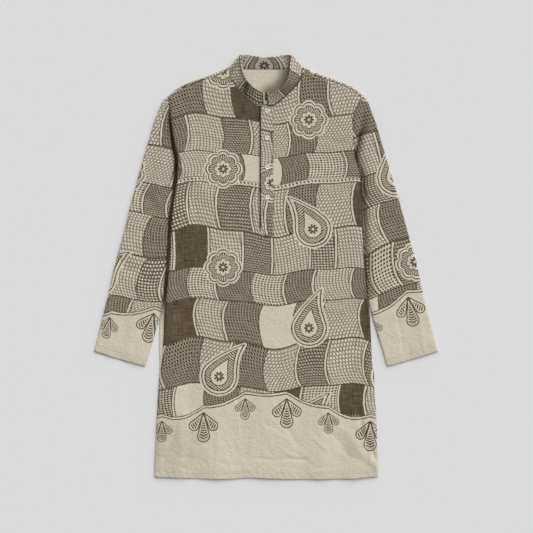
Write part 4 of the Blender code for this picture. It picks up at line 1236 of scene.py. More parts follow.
# Fills of the printed blocks, by the share of a block's own number they reach: those up
# to half are light, the others dark. Each is a ground and a mark of ink, from none at 0
# to full at 1, the marks small leaning ellipses on a lattice, in millimetres. Marks a
# little below 0 stay paler than the cloth, as where a resist kept the dye off.
FILLS = (
    (
        "upto", "ground", "mark", "between",
        "pitch_x", "pitch_y", "size_x", "size_y", "slant", "stagger", "lean",
    ),
    (0.08, 0.0, 0.0, 0.0, 8.0, 7.2, 1.0, 1.0, 0.0, 0.0, 0.0),
    (0.27, 0.62, -0.14, 1.0, 7.6, 7.0, 2.7, 2.3, 0.15, 0.0, 0.5),
    (0.36, 0.06, 1.0, 0.06, 7.6, 7.2, 2.6, 2.3, 0.0, 0.0, 0.0),
    (0.50, 0.6, -0.1, 0.95, 8.2, 6.4, 2.9, 2.0, -0.15, 0.5, -0.5),
    (0.68, 0.7, 1.1, 0.42, 6.8, 6.6, 2.2, 2.1, 0.2, 0.0, 0.7),
    (0.82, 0.95, 0.3, 0.95, 6.8, 6.0, 2.2, 1.8, 0.2, 0.5, 0.7),
    (0.92, 0.94, 0.0, 0.94, 7.4, 6.8, 2.4, 2.1, 0.1, 0.0, 0.5),
    (1.0, 1.0, 1.0, 1.0, 8.0, 7.2, 1.0, 1.0, 0.0, 0.0, 0.0),
)
BETWEEN_SIZE = 0.6

# Rows of blocks: their height and a block's mean width, which a slow wave makes uneven.
ROW_HEIGHT = 92.0
BLOCK_WIDTH = 78.0
UNEVEN = 0.14
UNEVEN_RATE = 0.043
# Waves of the rows, two of them along x and one along y: rate, shift and height.
WAVES_ALONG = ((0.019, 1.3, 9.0), (0.047, 0.4, 3.0))
WAVE_UP = (0.021, 0.9, 13.0)
# Each row leans up to this far to either side, and is pushed along by up to so much.
ROW_LEAN = 55.0
ROW_PUSH = 230.0
# A line is drawn round each block, and a rail inside its right edge. Rows, blocks and
# motifs each have a number of their own from 0 to 1: blocks above a first value have the
# rail, and rows above a second have a beaded garland along their foot.
LINE = 2.5
RAIL_GAP = 5.6
RAIL = 2.2
RAILED_ABOVE = 0.25
GARLAND = 13.0
GARLAND_ABOVE = 0.84
GARLAND_BEADS = {
    "pitch_x": 9.0, "pitch_y": 14.2, "size_x": 2.4, "size_y": 3.0,
    "slant": 0.3, "stagger": 0.0, "lean": 0.0,
}
BLOCK_SEED = 4.0
MOTIF_SEED = 7.0

# Motifs stand on a half-drop repeat, in millimetres: paisleys, and above a value of
# their own number round flowers. A paisley turns by its number, from a start, and is
# mirrored below another value. It stands below its tile's middle and bends towards its
# tip.
MOTIF_REPEAT = (206.0, 236.0)
FLOWERS_ABOVE = 0.66
MIRRORED_BELOW = 0.33
PAISLEY_TURN = (1.3, -0.5)
PAISLEY_FOOT = 28.0
PAISLEY_STRAIGHT = 8.0
PAISLEY_BODY = 43.0
PAISLEY_TIP = 3.0
PAISLEY_LENGTH = 90.0
PAISLEY_BEND = 0.0042
FLOWER_RADIUS = 43.0
FLOWER_PETAL = 8.0
# Hatching: spokes round a flower, strokes per millimetre along and up a paisley, and
# the inked share of each.
FLOWER_SPOKES = 40
STROKE_RATES = (0.07, 0.2)
HATCHING = 0.55
# A rosette with an open eye at the heart, and a plain margin round the whole motif.
ROSETTE = 3.5
ROSETTE_PETAL = 9.0
ROSETTE_EYE = 3.4
HALO = 4.4
# Rings of a motif from its edge inwards: ink, or half for hatching.
MOTIF_RINGS = (
    ("depth", "ink"),
    (0.0, 1.0),
    (2.6, 0.0),
    (7.6, 1.0),
    (9.8, 0.5),
    (20.5, 1.0),
    (22.6, 0.0),
)
MOTIF_DEPTH = 50.0

# Below the blocks: a swagged and scalloped edge with its own rail, and hanging buds,
# each of three veined leaves and every second one smaller.
BORDER_TOP = -330.0
SWAG = 30.0
SWAG_REPEAT = 500.0
SCALLOP = 11.0
SCALLOP_RAIL = 6.6
SCALLOP_BAND = 8.6
BUD_REPEAT = 100.0
BUD_SCALE = 0.85
SMALLER_BUD = 0.35
BUD_BELOW = 9.0
BUD_OUTLINE = 2.2
BUD_GAP = 2.0
BUD_TIP = 0.8
VEIN_PITCH = 5.2
VEIN_SLANT = 0.45
VEIN = 0.55
BUD_LEAVES = (
    ("turn", "reach", "body"),
    (0.62, 34.0, 10.5),
    (0.0, 48.0, 13.5),
)


def ellipses(tree, x, y, fill, size=1.0, shift=0.0):
    """Mask of a fill's small ellipses."""
    line = node(tree, MATH, y, fill["pitch_y"], operation="DIVIDE")
    leaning = node(tree, MATH, y, fill["slant"], x, operation="MULTIPLY_ADD")
    place = node(tree, MATH, leaning, fill["pitch_x"], operation="DIVIDE")
    number = node(tree, MATH, line, operation="FLOOR")
    place = node(tree, MATH, number, fill["stagger"], place, operation="MULTIPLY_ADD")
    place = node(tree, MATH, place, shift, operation="ADD")
    parts = []
    for value, pitch, half in (
        (place, fill["pitch_x"], fill["size_x"] * size),
        (line, fill["pitch_y"], fill["size_y"] * size),
    ):
        part = node(tree, MATH, value, operation="FRACT")
        sized = (pitch / half, -0.5 * pitch / half)
        parts.append(node(tree, MATH, part, *sized, operation="MULTIPLY_ADD"))
    across, upright = parts
    lean = fill["lean"] * fill["size_y"] / fill["size_x"]
    across = node(tree, MATH, upright, lean, across, operation="MULTIPLY_ADD")
    upright = node(tree, MATH, upright, upright, operation="MULTIPLY")
    away = node(tree, MATH, across, across, upright, operation="MULTIPLY_ADD")
    return node(tree, MATH, away, 1.0, operation="LESS_THAN")


def wave(tree, value, rate, shift, height):
    """A sine of a value."""
    angle = node(tree, MATH, value, rate, shift, operation="MULTIPLY_ADD")
    angle = node(tree, MATH, angle, operation="SINE")
    return node(tree, MATH, angle, height, operation="MULTIPLY")


def turned(tree, x, y, angle):
    """A place turned about the origin."""
    spot = node(tree, "ShaderNodeCombineXYZ", x, y)
    about = {"inputs": {"Angle": angle}, "rotation_type": "Z_AXIS"}
    spot = node(tree, "ShaderNodeVectorRotate", spot, **about)
    spot = node(tree, "ShaderNodeSeparateXYZ", spot)
    return spot.outputs["X"], spot.outputs["Y"]


def teardrop(tree, x, y, body, tip, length):
    """Distance inside the edge of a teardrop standing on the middle of its round end."""
    lean = (body - tip) / length
    rise = math.sqrt(1 - lean * lean)
    side = node(tree, MATH, x, operation="ABSOLUTE")
    nearest = node(tree, MATH, side, -lean / rise, y, operation="MULTIPLY_ADD")
    share = node(tree, MATH, nearest, length, operation="DIVIDE", use_clamp=True)
    left = node(tree, MATH, share, -length, y, operation="MULTIPLY_ADD")
    left = node(tree, MATH, left, left, operation="MULTIPLY")
    away = node(tree, MATH, side, side, left, operation="MULTIPLY_ADD")
    away = node(tree, MATH, away, operation="SQRT")
    radius = node(tree, MATH, share, tip - body, body, operation="MULTIPLY_ADD")
    return node(tree, MATH, radius, away, operation="SUBTRACT")


def block_fill(tree, x, y, pick):
    """Ink of the fill that a block's own number picks."""
    ink = 0.0
    reached = -1.0
    for fill in rows_of(FILLS):
        filled = fill["ground"]
        for name, place in (("between", (BETWEEN_SIZE, 0.5)), ("mark", ())):
            if fill[name] != fill["ground"]:
                mark = ellipses(tree, x, y, fill, *place)
                filled = node(tree, MIX, mark, filled, fill[name])
        chosen = node(tree, MATH, pick, reached, operation="GREATER_THAN")
        ink = node(tree, MIX, chosen, ink, filled)
        reached = fill["upto"]
    return ink


def row_foot(tree, x, up, chance):
    """Foot of a row: a drawn line, in some rows a beaded garland, as a mask and ink."""
    garland = node(tree, MATH, chance, GARLAND_ABOVE, operation="GREATER_THAN")
    height = node(tree, MATH, garland, GARLAND - LINE / 2, LINE / 2, operation="MULTIPLY_ADD")
    beads = ellipses(tree, x, up, GARLAND_BEADS)
    top = node(tree, MATH, up, GARLAND - LINE / 2, operation="GREATER_THAN")
    bottom = node(tree, MATH, up, LINE / 2, operation="LESS_THAN")
    lines = node(tree, MATH, top, bottom, operation="MAXIMUM")
    lines = node(tree, MATH, lines, beads, operation="MAXIMUM")
    return node(tree, MATH, up, height, operation="LESS_THAN"), lines


def patchwork(tree, x, y):
    """Ink of the rows of curved blocks, each with a fill of its own and drawn edges."""
    rows = y
    for along_x in WAVES_ALONG:
        rows = node(tree, MATH, rows, wave(tree, x, *along_x), operation="ADD")
    rows = node(tree, MATH, rows, wave(tree, y, *WAVE_UP), operation="ADD")
    rows = node(tree, MATH, rows, ROW_HEIGHT, operation="DIVIDE")
    row = node(tree, MATH, rows, operation="FLOOR")
    share = node(tree, MATH, rows, operation="FRACT")
    up = node(tree, MATH, share, ROW_HEIGHT, operation="MULTIPLY")
    chance = node(tree, CHANCE, row, noise_dimensions="1D").outputs["Value"]
    bow = node(tree, MATH, share, -0.5, operation="ADD")
    bow = node(tree, MATH, bow, bow, operation="MULTIPLY")
    lean = node(tree, MATH, chance, 2 * ROW_LEAN, -ROW_LEAN, operation="MULTIPLY_ADD")
    shifted = node(tree, MATH, chance, ROW_PUSH, x, operation="MULTIPLY_ADD")
    shifted = node(tree, MATH, bow, lean, shifted, operation="MULTIPLY_ADD")
    blocks = node(tree, MATH, shifted, BLOCK_WIDTH, operation="DIVIDE")
    uneven = wave(tree, shifted, UNEVEN_RATE, 0.0, UNEVEN)
    blocks = node(tree, MATH, blocks, uneven, operation="ADD")
    block = node(tree, MATH, blocks, operation="FLOOR")
    across = node(tree, MATH, blocks, operation="FRACT")
    steep = wave(tree, shifted, UNEVEN_RATE, math.pi / 2, UNEVEN * UNEVEN_RATE * BLOCK_WIDTH)
    steep = node(tree, MATH, steep, 1.0, operation="ADD")
    width = node(tree, MATH, BLOCK_WIDTH, steep, operation="DIVIDE")
    from_left = node(tree, MATH, across, width, operation="MULTIPLY")
    from_right = node(tree, MATH, width, from_left, operation="SUBTRACT")
    cell = node(tree, "ShaderNodeCombineXYZ", block, row, BLOCK_SEED)
    cell = node(tree, CHANCE, cell, noise_dimensions="3D")
    # Light and dark blocks take turns along a row.
    dark = node(tree, MATH, block, 2.0, operation="FLOORED_MODULO")
    dark = node(tree, MATH, dark, 0.5, operation="MULTIPLY")
    pick = node(tree, MATH, cell.outputs["Value"], 0.5, dark, operation="MULTIPLY_ADD")
    second = node(tree, "ShaderNodeSeparateColor", cell.outputs["Color"])
    ink = block_fill(tree, shifted, up, pick)
    edge = node(tree, MATH, from_left, from_right, operation="MINIMUM")
    edge = node(tree, MATH, edge, LINE / 2, operation="LESS_THAN")
    rail = node(tree, MATH, from_right, RAIL_GAP, operation="GREATER_THAN")
    rail = node(tree, MATH, edge, rail, operation="MAXIMUM")
    railed = node(tree, MATH, second.outputs["Red"], RAILED_ABOVE, operation="GREATER_THAN")
    margin = node(tree, MATH, railed, RAIL_GAP + RAIL, operation="MULTIPLY")
    beside = node(tree, MATH, from_right, margin, operation="LESS_THAN")
    ink = node(tree, MIX, beside, ink, rail)
    ink = node(tree, MIX, edge, ink, 1.0)
    low, beaded = row_foot(tree, x, up, chance)
    ink = node(tree, MIX, low, ink, beaded)
    high = node(tree, MATH, up, ROW_HEIGHT - LINE / 2, operation="GREATER_THAN")
    return node(tree, MIX, high, ink, 1.0)


def motif_tile(tree, x, y):
    """Place within a tile of the half-drop repeat, from its middle, and its own number."""
    wide, tall = MOTIF_REPEAT
    across = node(tree, MATH, x, wide, operation="DIVIDE")
    number = node(tree, MATH, across, operation="FLOOR")
    drop = node(tree, MATH, number, 2.0, operation="FLOORED_MODULO")
    down = node(tree, MATH, y, tall, operation="DIVIDE")
    down = node(tree, MATH, drop, 0.5, down, operation="MULTIPLY_ADD")
    tile = node(tree, MATH, down, operation="FLOOR")
    own = node(tree, "ShaderNodeCombineXYZ", number, tile, MOTIF_SEED)
    own = node(tree, CHANCE, own, noise_dimensions="3D").outputs["Value"]
    local_x = node(tree, MATH, across, operation="FRACT")
    local_x = node(tree, MATH, local_x, wide, -wide / 2, operation="MULTIPLY_ADD")
    local_y = node(tree, MATH, down, operation="FRACT")
    local_y = node(tree, MATH, local_y, tall, -tall / 2, operation="MULTIPLY_ADD")
    return local_x, local_y, own


def paisley_place(tree, x, y, own):
    """Place on a paisley that leans, faces and bends its own way."""
    turn = node(tree, MATH, own, *PAISLEY_TURN, operation="MULTIPLY_ADD")
    leaning_x, leaning_y = turned(tree, x, y, turn)
    flip = node(tree, MATH, own, MIRRORED_BELOW, operation="GREATER_THAN")
    flip = node(tree, MATH, flip, 2.0, -1.0, operation="MULTIPLY_ADD")
    leaning_x = node(tree, MATH, leaning_x, flip, operation="MULTIPLY")
    leaning_y = node(tree, MATH, leaning_y, PAISLEY_FOOT, operation="ADD")
    bend = node(tree, MATH, leaning_y, PAISLEY_STRAIGHT, operation="SUBTRACT")
    bend = node(tree, MATH, bend, 0.0, operation="MAXIMUM")
    bend = node(tree, MATH, bend, bend, operation="MULTIPLY")
    bent = node(tree, MATH, bend, -PAISLEY_BEND, leaning_x, operation="MULTIPLY_ADD")
    return bent, leaning_y


def motifs(tree, x, y):
    """Paisleys and flowers on a half-drop repeat: distance inside their edges, and ink."""
    local_x, local_y, own = motif_tile(tree, x, y)
    bent, leaning_y = paisley_place(tree, local_x, local_y, own)
    paisley = teardrop(tree, bent, leaning_y, PAISLEY_BODY, PAISLEY_TIP, PAISLEY_LENGTH)
    is_flower = node(tree, MATH, own, FLOWERS_ABOVE, operation="GREATER_THAN")
    heart_x = node(tree, MIX, is_flower, bent, local_x)
    heart_y = node(tree, MIX, is_flower, leaning_y, local_y)
    square = node(tree, MATH, heart_x, heart_x, operation="MULTIPLY")
    from_heart = node(tree, MATH, heart_y, heart_y, square, operation="MULTIPLY_ADD")
    from_heart = node(tree, MATH, from_heart, operation="SQRT")
    round_it = node(tree, MATH, heart_y, heart_x, operation="ARCTAN2")
    petals = node(tree, MATH, round_it, 4.0, operation="MULTIPLY")
    petals = node(tree, MATH, petals, operation="COSINE")
    petals = node(tree, MATH, petals, operation="ABSOLUTE")
    petals = node(tree, MATH, petals, operation="SQRT")
    sized = (FLOWER_PETAL, FLOWER_RADIUS - FLOWER_PETAL)
    edge = node(tree, MATH, petals, *sized, operation="MULTIPLY_ADD")
    flower = node(tree, MATH, edge, from_heart, operation="SUBTRACT")
    inside = node(tree, MIX, is_flower, paisley, flower)
    depth = node(tree, MATH, inside, MOTIF_DEPTH, operation="DIVIDE")
    ramp = node(tree, "ShaderNodeValToRGB", depth)
    ramp.color_ramp.interpolation = "CONSTANT"
    stops = ramp.color_ramp.elements
    for k, ring in enumerate(rows_of(MOTIF_RINGS)):
        place = ring["depth"] / MOTIF_DEPTH
        stop = stops[k] if k < 2 else stops.new(place)
        stop.position = place
        stop.color = (ring["ink"], ring["ink"], ring["ink"], 1.0)
    ring = node(tree, "ShaderNodeSeparateColor", ramp).outputs["Red"]
    # Slanting strokes fill the paisley's band, and spokes the flower's petals.
    strokes = node(tree, MATH, heart_x, STROKE_RATES[0], operation="MULTIPLY")
    strokes = node(tree, MATH, heart_y, STROKE_RATES[1], strokes, operation="MULTIPLY_ADD")
    spokes = node(tree, MATH, round_it, FLOWER_SPOKES / math.tau, operation="MULTIPLY")
    hatch = node(tree, MIX, is_flower, strokes, spokes)
    hatch = node(tree, MATH, hatch, operation="FRACT")
    hatch = node(tree, MATH, hatch, HATCHING, operation="LESS_THAN")
    hatched = node(tree, MATH, ring, 0.5, 0.1, operation="COMPARE")
    ink = node(tree, MIX, hatched, ring, hatch)
    # A small eight-petalled rosette at the heart of each.
    rosette = node(tree, MATH, petals, ROSETTE_PETAL, ROSETTE, operation="MULTIPLY_ADD")
    rosette = node(tree, MATH, from_heart, rosette, operation="LESS_THAN")
    heart = node(tree, MATH, from_heart, ROSETTE_EYE, operation="GREATER_THAN")
    rosette = node(tree, MATH, rosette, heart, operation="MULTIPLY")
    return inside, node(tree, MATH, ink, rosette, operation="MAXIMUM")


def swag(tree, x):
    """Height of the printed border at a place along it."""
    angle = node(tree, MATH, x, math.tau / SWAG_REPEAT, operation="MULTIPLY")
    angle = node(tree, MATH, angle, operation="COSINE")
    return node(tree, MATH, angle, SWAG, BORDER_TOP, operation="MULTIPLY_ADD")


def hanging_buds(tree, x, y):
    """A row of hanging buds under the blocks, every second one smaller: a mask and ink."""
    across = node(tree, MATH, x, BUD_REPEAT, operation="DIVIDE")
    number = node(tree, MATH, across, operation="FLOOR")
    middle_x = node(tree, MATH, number, BUD_REPEAT, BUD_REPEAT / 2, operation="MULTIPLY_ADD")
    small = node(tree, MATH, number, 2.0, operation="FLOORED_MODULO")
    scale = node(tree, MATH, small, SMALLER_BUD, BUD_SCALE, operation="MULTIPLY_ADD")
    across = node(tree, MATH, x, middle_x, operation="SUBTRACT")
    across = node(tree, MATH, across, scale, operation="MULTIPLY")
    down = node(tree, MATH, swag(tree, middle_x), y, operation="SUBTRACT")
    down = node(tree, MATH, down, BUD_BELOW, operation="SUBTRACT")
    down = node(tree, MATH, down, scale, operation="MULTIPLY")
    side = node(tree, MATH, across, operation="ABSOLUTE")
    ink = 0.0
    masks = []
    for leaf in rows_of(BUD_LEAVES):
        aside, along_it = turned(tree, side, down, leaf["turn"])
        up = node(tree, MATH, leaf["reach"], along_it, operation="SUBTRACT")
        depth = teardrop(tree, aside, up, leaf["body"], BUD_TIP, leaf["reach"])
        mask = node(tree, MATH, depth, 0.0, operation="GREATER_THAN")
        veins = node(tree, MATH, aside, VEIN_SLANT, along_it, operation="MULTIPLY_ADD")
        veins = node(tree, MATH, veins, VEIN_PITCH, operation="DIVIDE")
        veins = node(tree, MATH, veins, operation="FRACT")
        veins = node(tree, MATH, veins, VEIN, operation="LESS_THAN")
        inner = node(tree, MATH, depth, BUD_OUTLINE + BUD_GAP, operation="GREATER_THAN")
        veins = node(tree, MATH, veins, inner, operation="MULTIPLY")
        outline = node(tree, MATH, depth, BUD_OUTLINE, operation="LESS_THAN")
        filled = node(tree, MATH, outline, veins, operation="MAXIMUM")
        ink = node(tree, MIX, mask, ink, filled)
        masks.append(mask)
    return node(tree, MATH, *masks, operation="MAXIMUM"), ink


def print_ink(tree, x, y):
    """Ink of the whole print at a place on the cloth, from 0 to 1."""
    ink = patchwork(tree, x, y)
    inside, motif = motifs(tree, x, y)
    halo = node(tree, MATH, inside, -HALO, operation="GREATER_THAN")
    ink = node(tree, MIX, halo, ink, 0.0)
    shape = node(tree, MATH, inside, 0.0, operation="GREATER_THAN")
    ink = node(tree, MIX, shape, ink, motif)
    arch = node(tree, MATH, x, math.pi / BUD_REPEAT, math.pi / 2, operation="MULTIPLY_ADD")
    arch = node(tree, MATH, arch, operation="SINE")
    arch = node(tree, MATH, arch, operation="ABSOLUTE")
    above = node(tree, MATH, arch, SCALLOP, y, operation="MULTIPLY_ADD")
    above = node(tree, MATH, above, swag(tree, x), operation="SUBTRACT")
    edge = node(tree, MATH, above, LINE, operation="LESS_THAN")
    rail = node(tree, MATH, above, SCALLOP_RAIL, operation="GREATER_THAN")
    edge = node(tree, MATH, edge, rail, operation="MAXIMUM")
    near = node(tree, MATH, above, SCALLOP_BAND, operation="LESS_THAN")
    ink = node(tree, MIX, near, ink, edge)
    bud, bud_ink = hanging_buds(tree, x, y)
    below = node(tree, MATH, bud, bud_ink, operation="MULTIPLY")
    printed = node(tree, MATH, above, 0.0, operation="GREATER_THAN")
    return node(tree, MIX, printed, below, ink)


def empty_material(name):
    """A new material and its node tree, with no nodes yet."""
    material = bpy.data.materials.new(name)
    material.use_nodes = True
    material.node_tree.nodes.clear()
    return material, material.node_tree


# Linen: slubs, thick stretches of yarn 1 to 3 mm across and 15 to 40 mm long, run both
# ways. Real ones are finer, and these are drawn coarse enough to show. The weave has
# about 13 yarns to the centimetre.
SLUB_STRETCHES = ((0.9, 0.05, 1.0), (0.05, 0.9, 1.0))
SLUB_SCALE = 0.6
YARN_PITCH = 0.77
# Fine specks, wide clouds and soft rumples: their scale per millimetre, and detail.
SPECK = (0.35, 2.0)
CLOUD = (0.012, 3.0)
RUMPLE = (0.13, 3.0)
# Hand-cut blocks print a slightly wandering line.
WANDER_SCALE = 0.09
WANDER_REACH = 3.4
# How far slub, speck and cloud lighten the cloth, from a base, less an even amount.
SLUB_TONE = 0.2
SPECK_TONE = 0.2
CLOUD_TONE = 0.10
BASE_TONE = 0.8
LESS_TONE = 0.15
# Ink lies thin on the thick stretches of yarn.
SLUB_THINS = -0.3
FULL_INK = 1.26
# Heights in the bump, in millimetres.
SLUB_HEIGHT = 0.36
WEAVE_HEIGHT = 0.07
RUMPLE_HEIGHT = 1.5


def woven(tree, cloth, slub, rumple):
    """Bump of the yarns both ways, the slubs and a soft rumple."""
    threads = node(tree, "ShaderNodeSeparateXYZ", cloth)
    weave = []
    for axis in "XY":
        yarn = node(tree, MATH, threads.outputs[axis], math.pi / YARN_PITCH, operation="MULTIPLY")
        weave.append(node(tree, MATH, yarn, operation="SINE"))
    weave = node(tree, MATH, *weave, operation="MULTIPLY")
    height = node(tree, MATH, slub, SLUB_HEIGHT, operation="MULTIPLY")
    height = node(tree, MATH, weave, WEAVE_HEIGHT, height, operation="MULTIPLY_ADD")
    height = node(tree, MATH, rumple, RUMPLE_HEIGHT, height, operation="MULTIPLY_ADD")
    return node(tree, "ShaderNodeBump", inputs={"Strength": 1.0, "Distance": MM, "Height": height})


def linen(name, printed, with_painted_shade=True):
    """Plain-weave linen, washed and pressed: matt, slubbed, with a slight fibre sheen."""
    material, tree = empty_material(name)
    place = node(tree, "ShaderNodeUVMap", uv_map="cloth")
    cloth = node(tree, VECTOR, place, operation="SCALE", inputs={"Scale": 1 / MM})
    slubs = []
    for stretch in SLUB_STRETCHES:
        yarn = node(tree, VECTOR, cloth, stretch, operation="MULTIPLY")
        inputs = {"Vector": yarn.outputs["Vector"], "Scale": SLUB_SCALE, "Detail": 2.0}
        slubs.append(node(tree, NOISE, inputs=inputs).outputs["Fac"])
    slub = node(tree, MATH, *slubs, operation="ADD")
    speck, cloud, rumple = (
        node(tree, NOISE, inputs={"Vector": cloth, "Scale": scale, "Detail": detail})
        for scale, detail in (SPECK, CLOUD, RUMPLE)
    )
    colour = hex_colour(ECRU if printed else REVERSE)[:3]
    if printed:
        inputs = {"Vector": cloth, "Scale": WANDER_SCALE, "Detail": 2.0}
        wander = node(tree, NOISE, inputs=inputs).outputs["Color"]
        wander = node(tree, VECTOR, wander, (0.5, 0.5, 0.5), operation="SUBTRACT")
        wander = node(tree, VECTOR, wander, operation="SCALE", inputs={"Scale": WANDER_REACH})
        drawn = node(tree, VECTOR, cloth, wander, operation="ADD")
        at = node(tree, "ShaderNodeSeparateXYZ", drawn)
        ink = print_ink(tree, at.outputs["X"], at.outputs["Y"])
        thin = node(tree, MATH, slub, SLUB_THINS, FULL_INK, operation="MULTIPLY_ADD")
        ink = node(tree, MATH, ink, thin, operation="MULTIPLY")
        inked = [dark - pale for dark, pale in zip(hex_colour(BROWN), colour)]
        colour = node(tree, VECTOR, ink, inked, colour, operation="MULTIPLY_ADD")
    tone = node(tree, MATH, slub, SLUB_TONE, BASE_TONE, operation="MULTIPLY_ADD")
    tone = node(tree, MATH, speck, SPECK_TONE, tone, operation="MULTIPLY_ADD")
    tone = node(tree, MATH, cloud, CLOUD_TONE, tone, operation="MULTIPLY_ADD")
    tone = node(tree, MATH, tone, LESS_TONE, operation="SUBTRACT")
    colour = node(tree, VECTOR, colour, operation="SCALE", inputs={"Scale": tone})
    if with_painted_shade:
        shade = node(tree, "ShaderNodeAttribute", attribute_name="shade").outputs["Fac"]
        # Painted shade: blue goes out of the colour more than red, as light off cloth would lose
        # it, then the colour mixes towards the painted shade's colour.
        kept = node(tree, VECTOR, PAINTED_SHADE_WARMTH, operation="SCALE", inputs={"Scale": shade})
        kept = node(tree, VECTOR, (1.0, 1.0, 1.0), kept, operation="SUBTRACT")
        colour = node(tree, VECTOR, colour, kept, operation="MULTIPLY")
        colour = node(tree, MIX, shade, colour, hex_colour(SHADE), data_type="RGBA")
    finish = {
        "Base Color": colour,
        "Roughness": 0.88,
        "IOR": 1.5,
        "Specular IOR Level": 0.12,
        "Sheen Weight": 0.02,
        "Sheen Roughness": 0.5,
        "Normal": woven(tree, cloth, slub, rumple),
    }
    shader = node(tree, "ShaderNodeBsdfPrincipled", inputs=finish)
    node(tree, "ShaderNodeOutputMaterial", shader)
    return material


def pearl_button():
    """Polished shell-look polyester: off-white, softly banded, with a clean gloss."""
    material, tree = empty_material("pearl_polyester")
    place = node(tree, "ShaderNodeTexCoord").outputs["Object"]
    inputs = {"Vector": place, "Scale": 220.0, "Detail": 2.0, "Distortion": 1.4}
    bands = node(tree, NOISE, inputs=inputs).outputs["Fac"]
    colour = node(tree, MIX, bands, hex_colour("#cfc6b4"), hex_colour("#f6f3ec"), data_type="RGBA")
    finish = {
        "Base Color": colour,
        "Roughness": 0.25,
        "IOR": 1.53,
        "Coat Weight": 0.4,
        "Coat Roughness": 0.08,
    }
    shader = node(tree, "ShaderNodeBsdfPrincipled", inputs=finish)
    node(tree, "ShaderNodeOutputMaterial", shader)
    return material


def sewing_thread(name, deep, light):
    """Spun polyester thread: dull, deeper than the cloth, its twist in the bump."""
    material, tree = empty_material(name)
    place = node(tree, "ShaderNodeTexCoord").outputs["Object"]
    inputs = {"Vector": place, "Scale": 900.0, "Detail": 1.0}
    fuzz = node(tree, NOISE, inputs=inputs).outputs["Fac"]
    colour = node(tree, MIX, fuzz, hex_colour(deep), hex_colour(light), data_type="RGBA")
    inputs = {"Strength": 0.6, "Distance": 0.1 * MM, "Height": fuzz}
    bump = node(tree, "ShaderNodeBump", inputs=inputs)
    finish = {"Base Color": colour, "Roughness": 0.7, "Sheen Weight": 0.1, "Normal": bump}
    shader = node(tree, "ShaderNodeBsdfPrincipled", inputs=finish)
    node(tree, "ShaderNodeOutputMaterial", shader)
    return material


def studio_paper():
    """Seamless paper, pale grey and matt, with a very faint tooth."""
    material, tree = empty_material("backdrop_paper")
    place = node(tree, "ShaderNodeTexCoord").outputs["Object"]
    tooth = node(tree, NOISE, inputs={"Vector": place, "Scale": 400.0}).outputs["Fac"]
    colour = node(tree, MIX, tooth, hex_colour("#d9d9d9"), hex_colour("#dddddd"), data_type="RGBA")
    finish = {"Base Color": colour, "Roughness": 0.95, "Specular IOR Level": 0.1}
    shader = node(tree, "ShaderNodeBsdfPrincipled", inputs=finish)
    node(tree, "ShaderNodeOutputMaterial", shader)
    return material


# Lines of stitches, in millimetres.
STITCH_PITCH = 2.7
STITCH_LENGTH = 2.1
STITCH_RADIUS = 0.32
STITCH_LIFT = 0.12
STITCH_SIDES = 6
PATH_STEP = 5.0
DROP_FROM = 200.0
# Points along each seam before it is laid on the cloth, and how far across it runs.
HEM_POINTS = 90
SLIT_POINTS = 50
CUFF_SPAN = (0.02, 0.98, 20)
SHOULDER_SPAN = (0.06, 0.96, 30)
# Where each seam lies: in from its own edge, or up from it.
HEM_SEAM = HEM_BAND - 1.8
HEM_END_Y = -490.0
HEM_END_INSET = 3.0
SLIT_FOOT_Y = -484.0
SLIT_HEAD_Y = SLIT_TOP_Y + 4.0
SLIT_SEAM = 8.5
SLIT_EDGE = 1.5
CUFF_SEAM = 15.4
STRIP_SEAM = 1.8
STRIP_SEAM_RIGHT = 1.9
STRIP_SEAM_TOP = 4.0
STRIP_BOX = 15.0
SHOULDER_SEAM = 3.2


def stitch_tree(thread):
    """Geometry nodes that lay a short bar of thread at each step of a path."""
    tree = bpy.data.node_groups.new("stitches", "GeometryNodeTree")
    face = tree.interface
    face.new_socket("Geometry", in_out="INPUT", socket_type="NodeSocketGeometry")
    sizes = {"Pitch": STITCH_PITCH, "Length": STITCH_LENGTH, "Radius": STITCH_RADIUS}
    for name, value in sizes.items():
        socket = face.new_socket(name, in_out="INPUT", socket_type="NodeSocketFloat")
        socket.default_value = value * MM
    face.new_socket("Geometry", in_out="OUTPUT", socket_type="NodeSocketGeometry")
    given = node(tree, "NodeGroupInput")
    path = node(tree, "GeometryNodeMeshToCurve", given.outputs["Geometry"])
    inputs = {"Curve": path.outputs["Curve"], "Length": given.outputs["Pitch"]}
    steps = node(tree, "GeometryNodeCurveToPoints", inputs=inputs, mode="LENGTH")
    inputs = {
        "Vertices": STITCH_SIDES,
        "Radius": given.outputs["Radius"],
        "Depth": given.outputs["Length"],
    }
    bar = node(tree, "GeometryNodeMeshCylinder", inputs=inputs)
    inputs = {"Vector": steps.outputs["Tangent"]}
    turn = node(tree, "FunctionNodeAlignRotationToVector", inputs=inputs, axis="Z")
    inputs = {
        "Points": steps.outputs["Points"],
        "Instance": bar.outputs["Mesh"],
        "Rotation": turn.outputs["Rotation"],
    }
    laid = node(tree, "GeometryNodeInstanceOnPoints", inputs=inputs)
    real = node(tree, "GeometryNodeRealizeInstances", laid.outputs["Instances"])
    inputs = {"Geometry": real.outputs["Geometry"], "Material": thread}
    done = node(tree, "GeometryNodeSetMaterial", inputs=inputs)
    node(tree, "NodeGroupOutput", done.outputs["Geometry"])
    return tree


def on_cloth(line):
    """A line given in plan, dropped on to the top of whatever cloth lies under it."""
    line = np.asarray(line, float)
    line = along(line, np.linspace(0.0, 1.0, max(2, int(run_of(line)[-1] / PATH_STEP))))
    scene = bpy.context.scene
    graph = bpy.context.evaluated_depsgraph_get()
    dropped = []
    for x, y in line * MM:
        _, where, *_ = scene.ray_cast(graph, (x, y, DROP_FROM * MM), (0.0, 0.0, -1.0))
        dropped.append((where.x / MM, where.y / MM, where.z / MM + STITCH_LIFT))
    return dropped


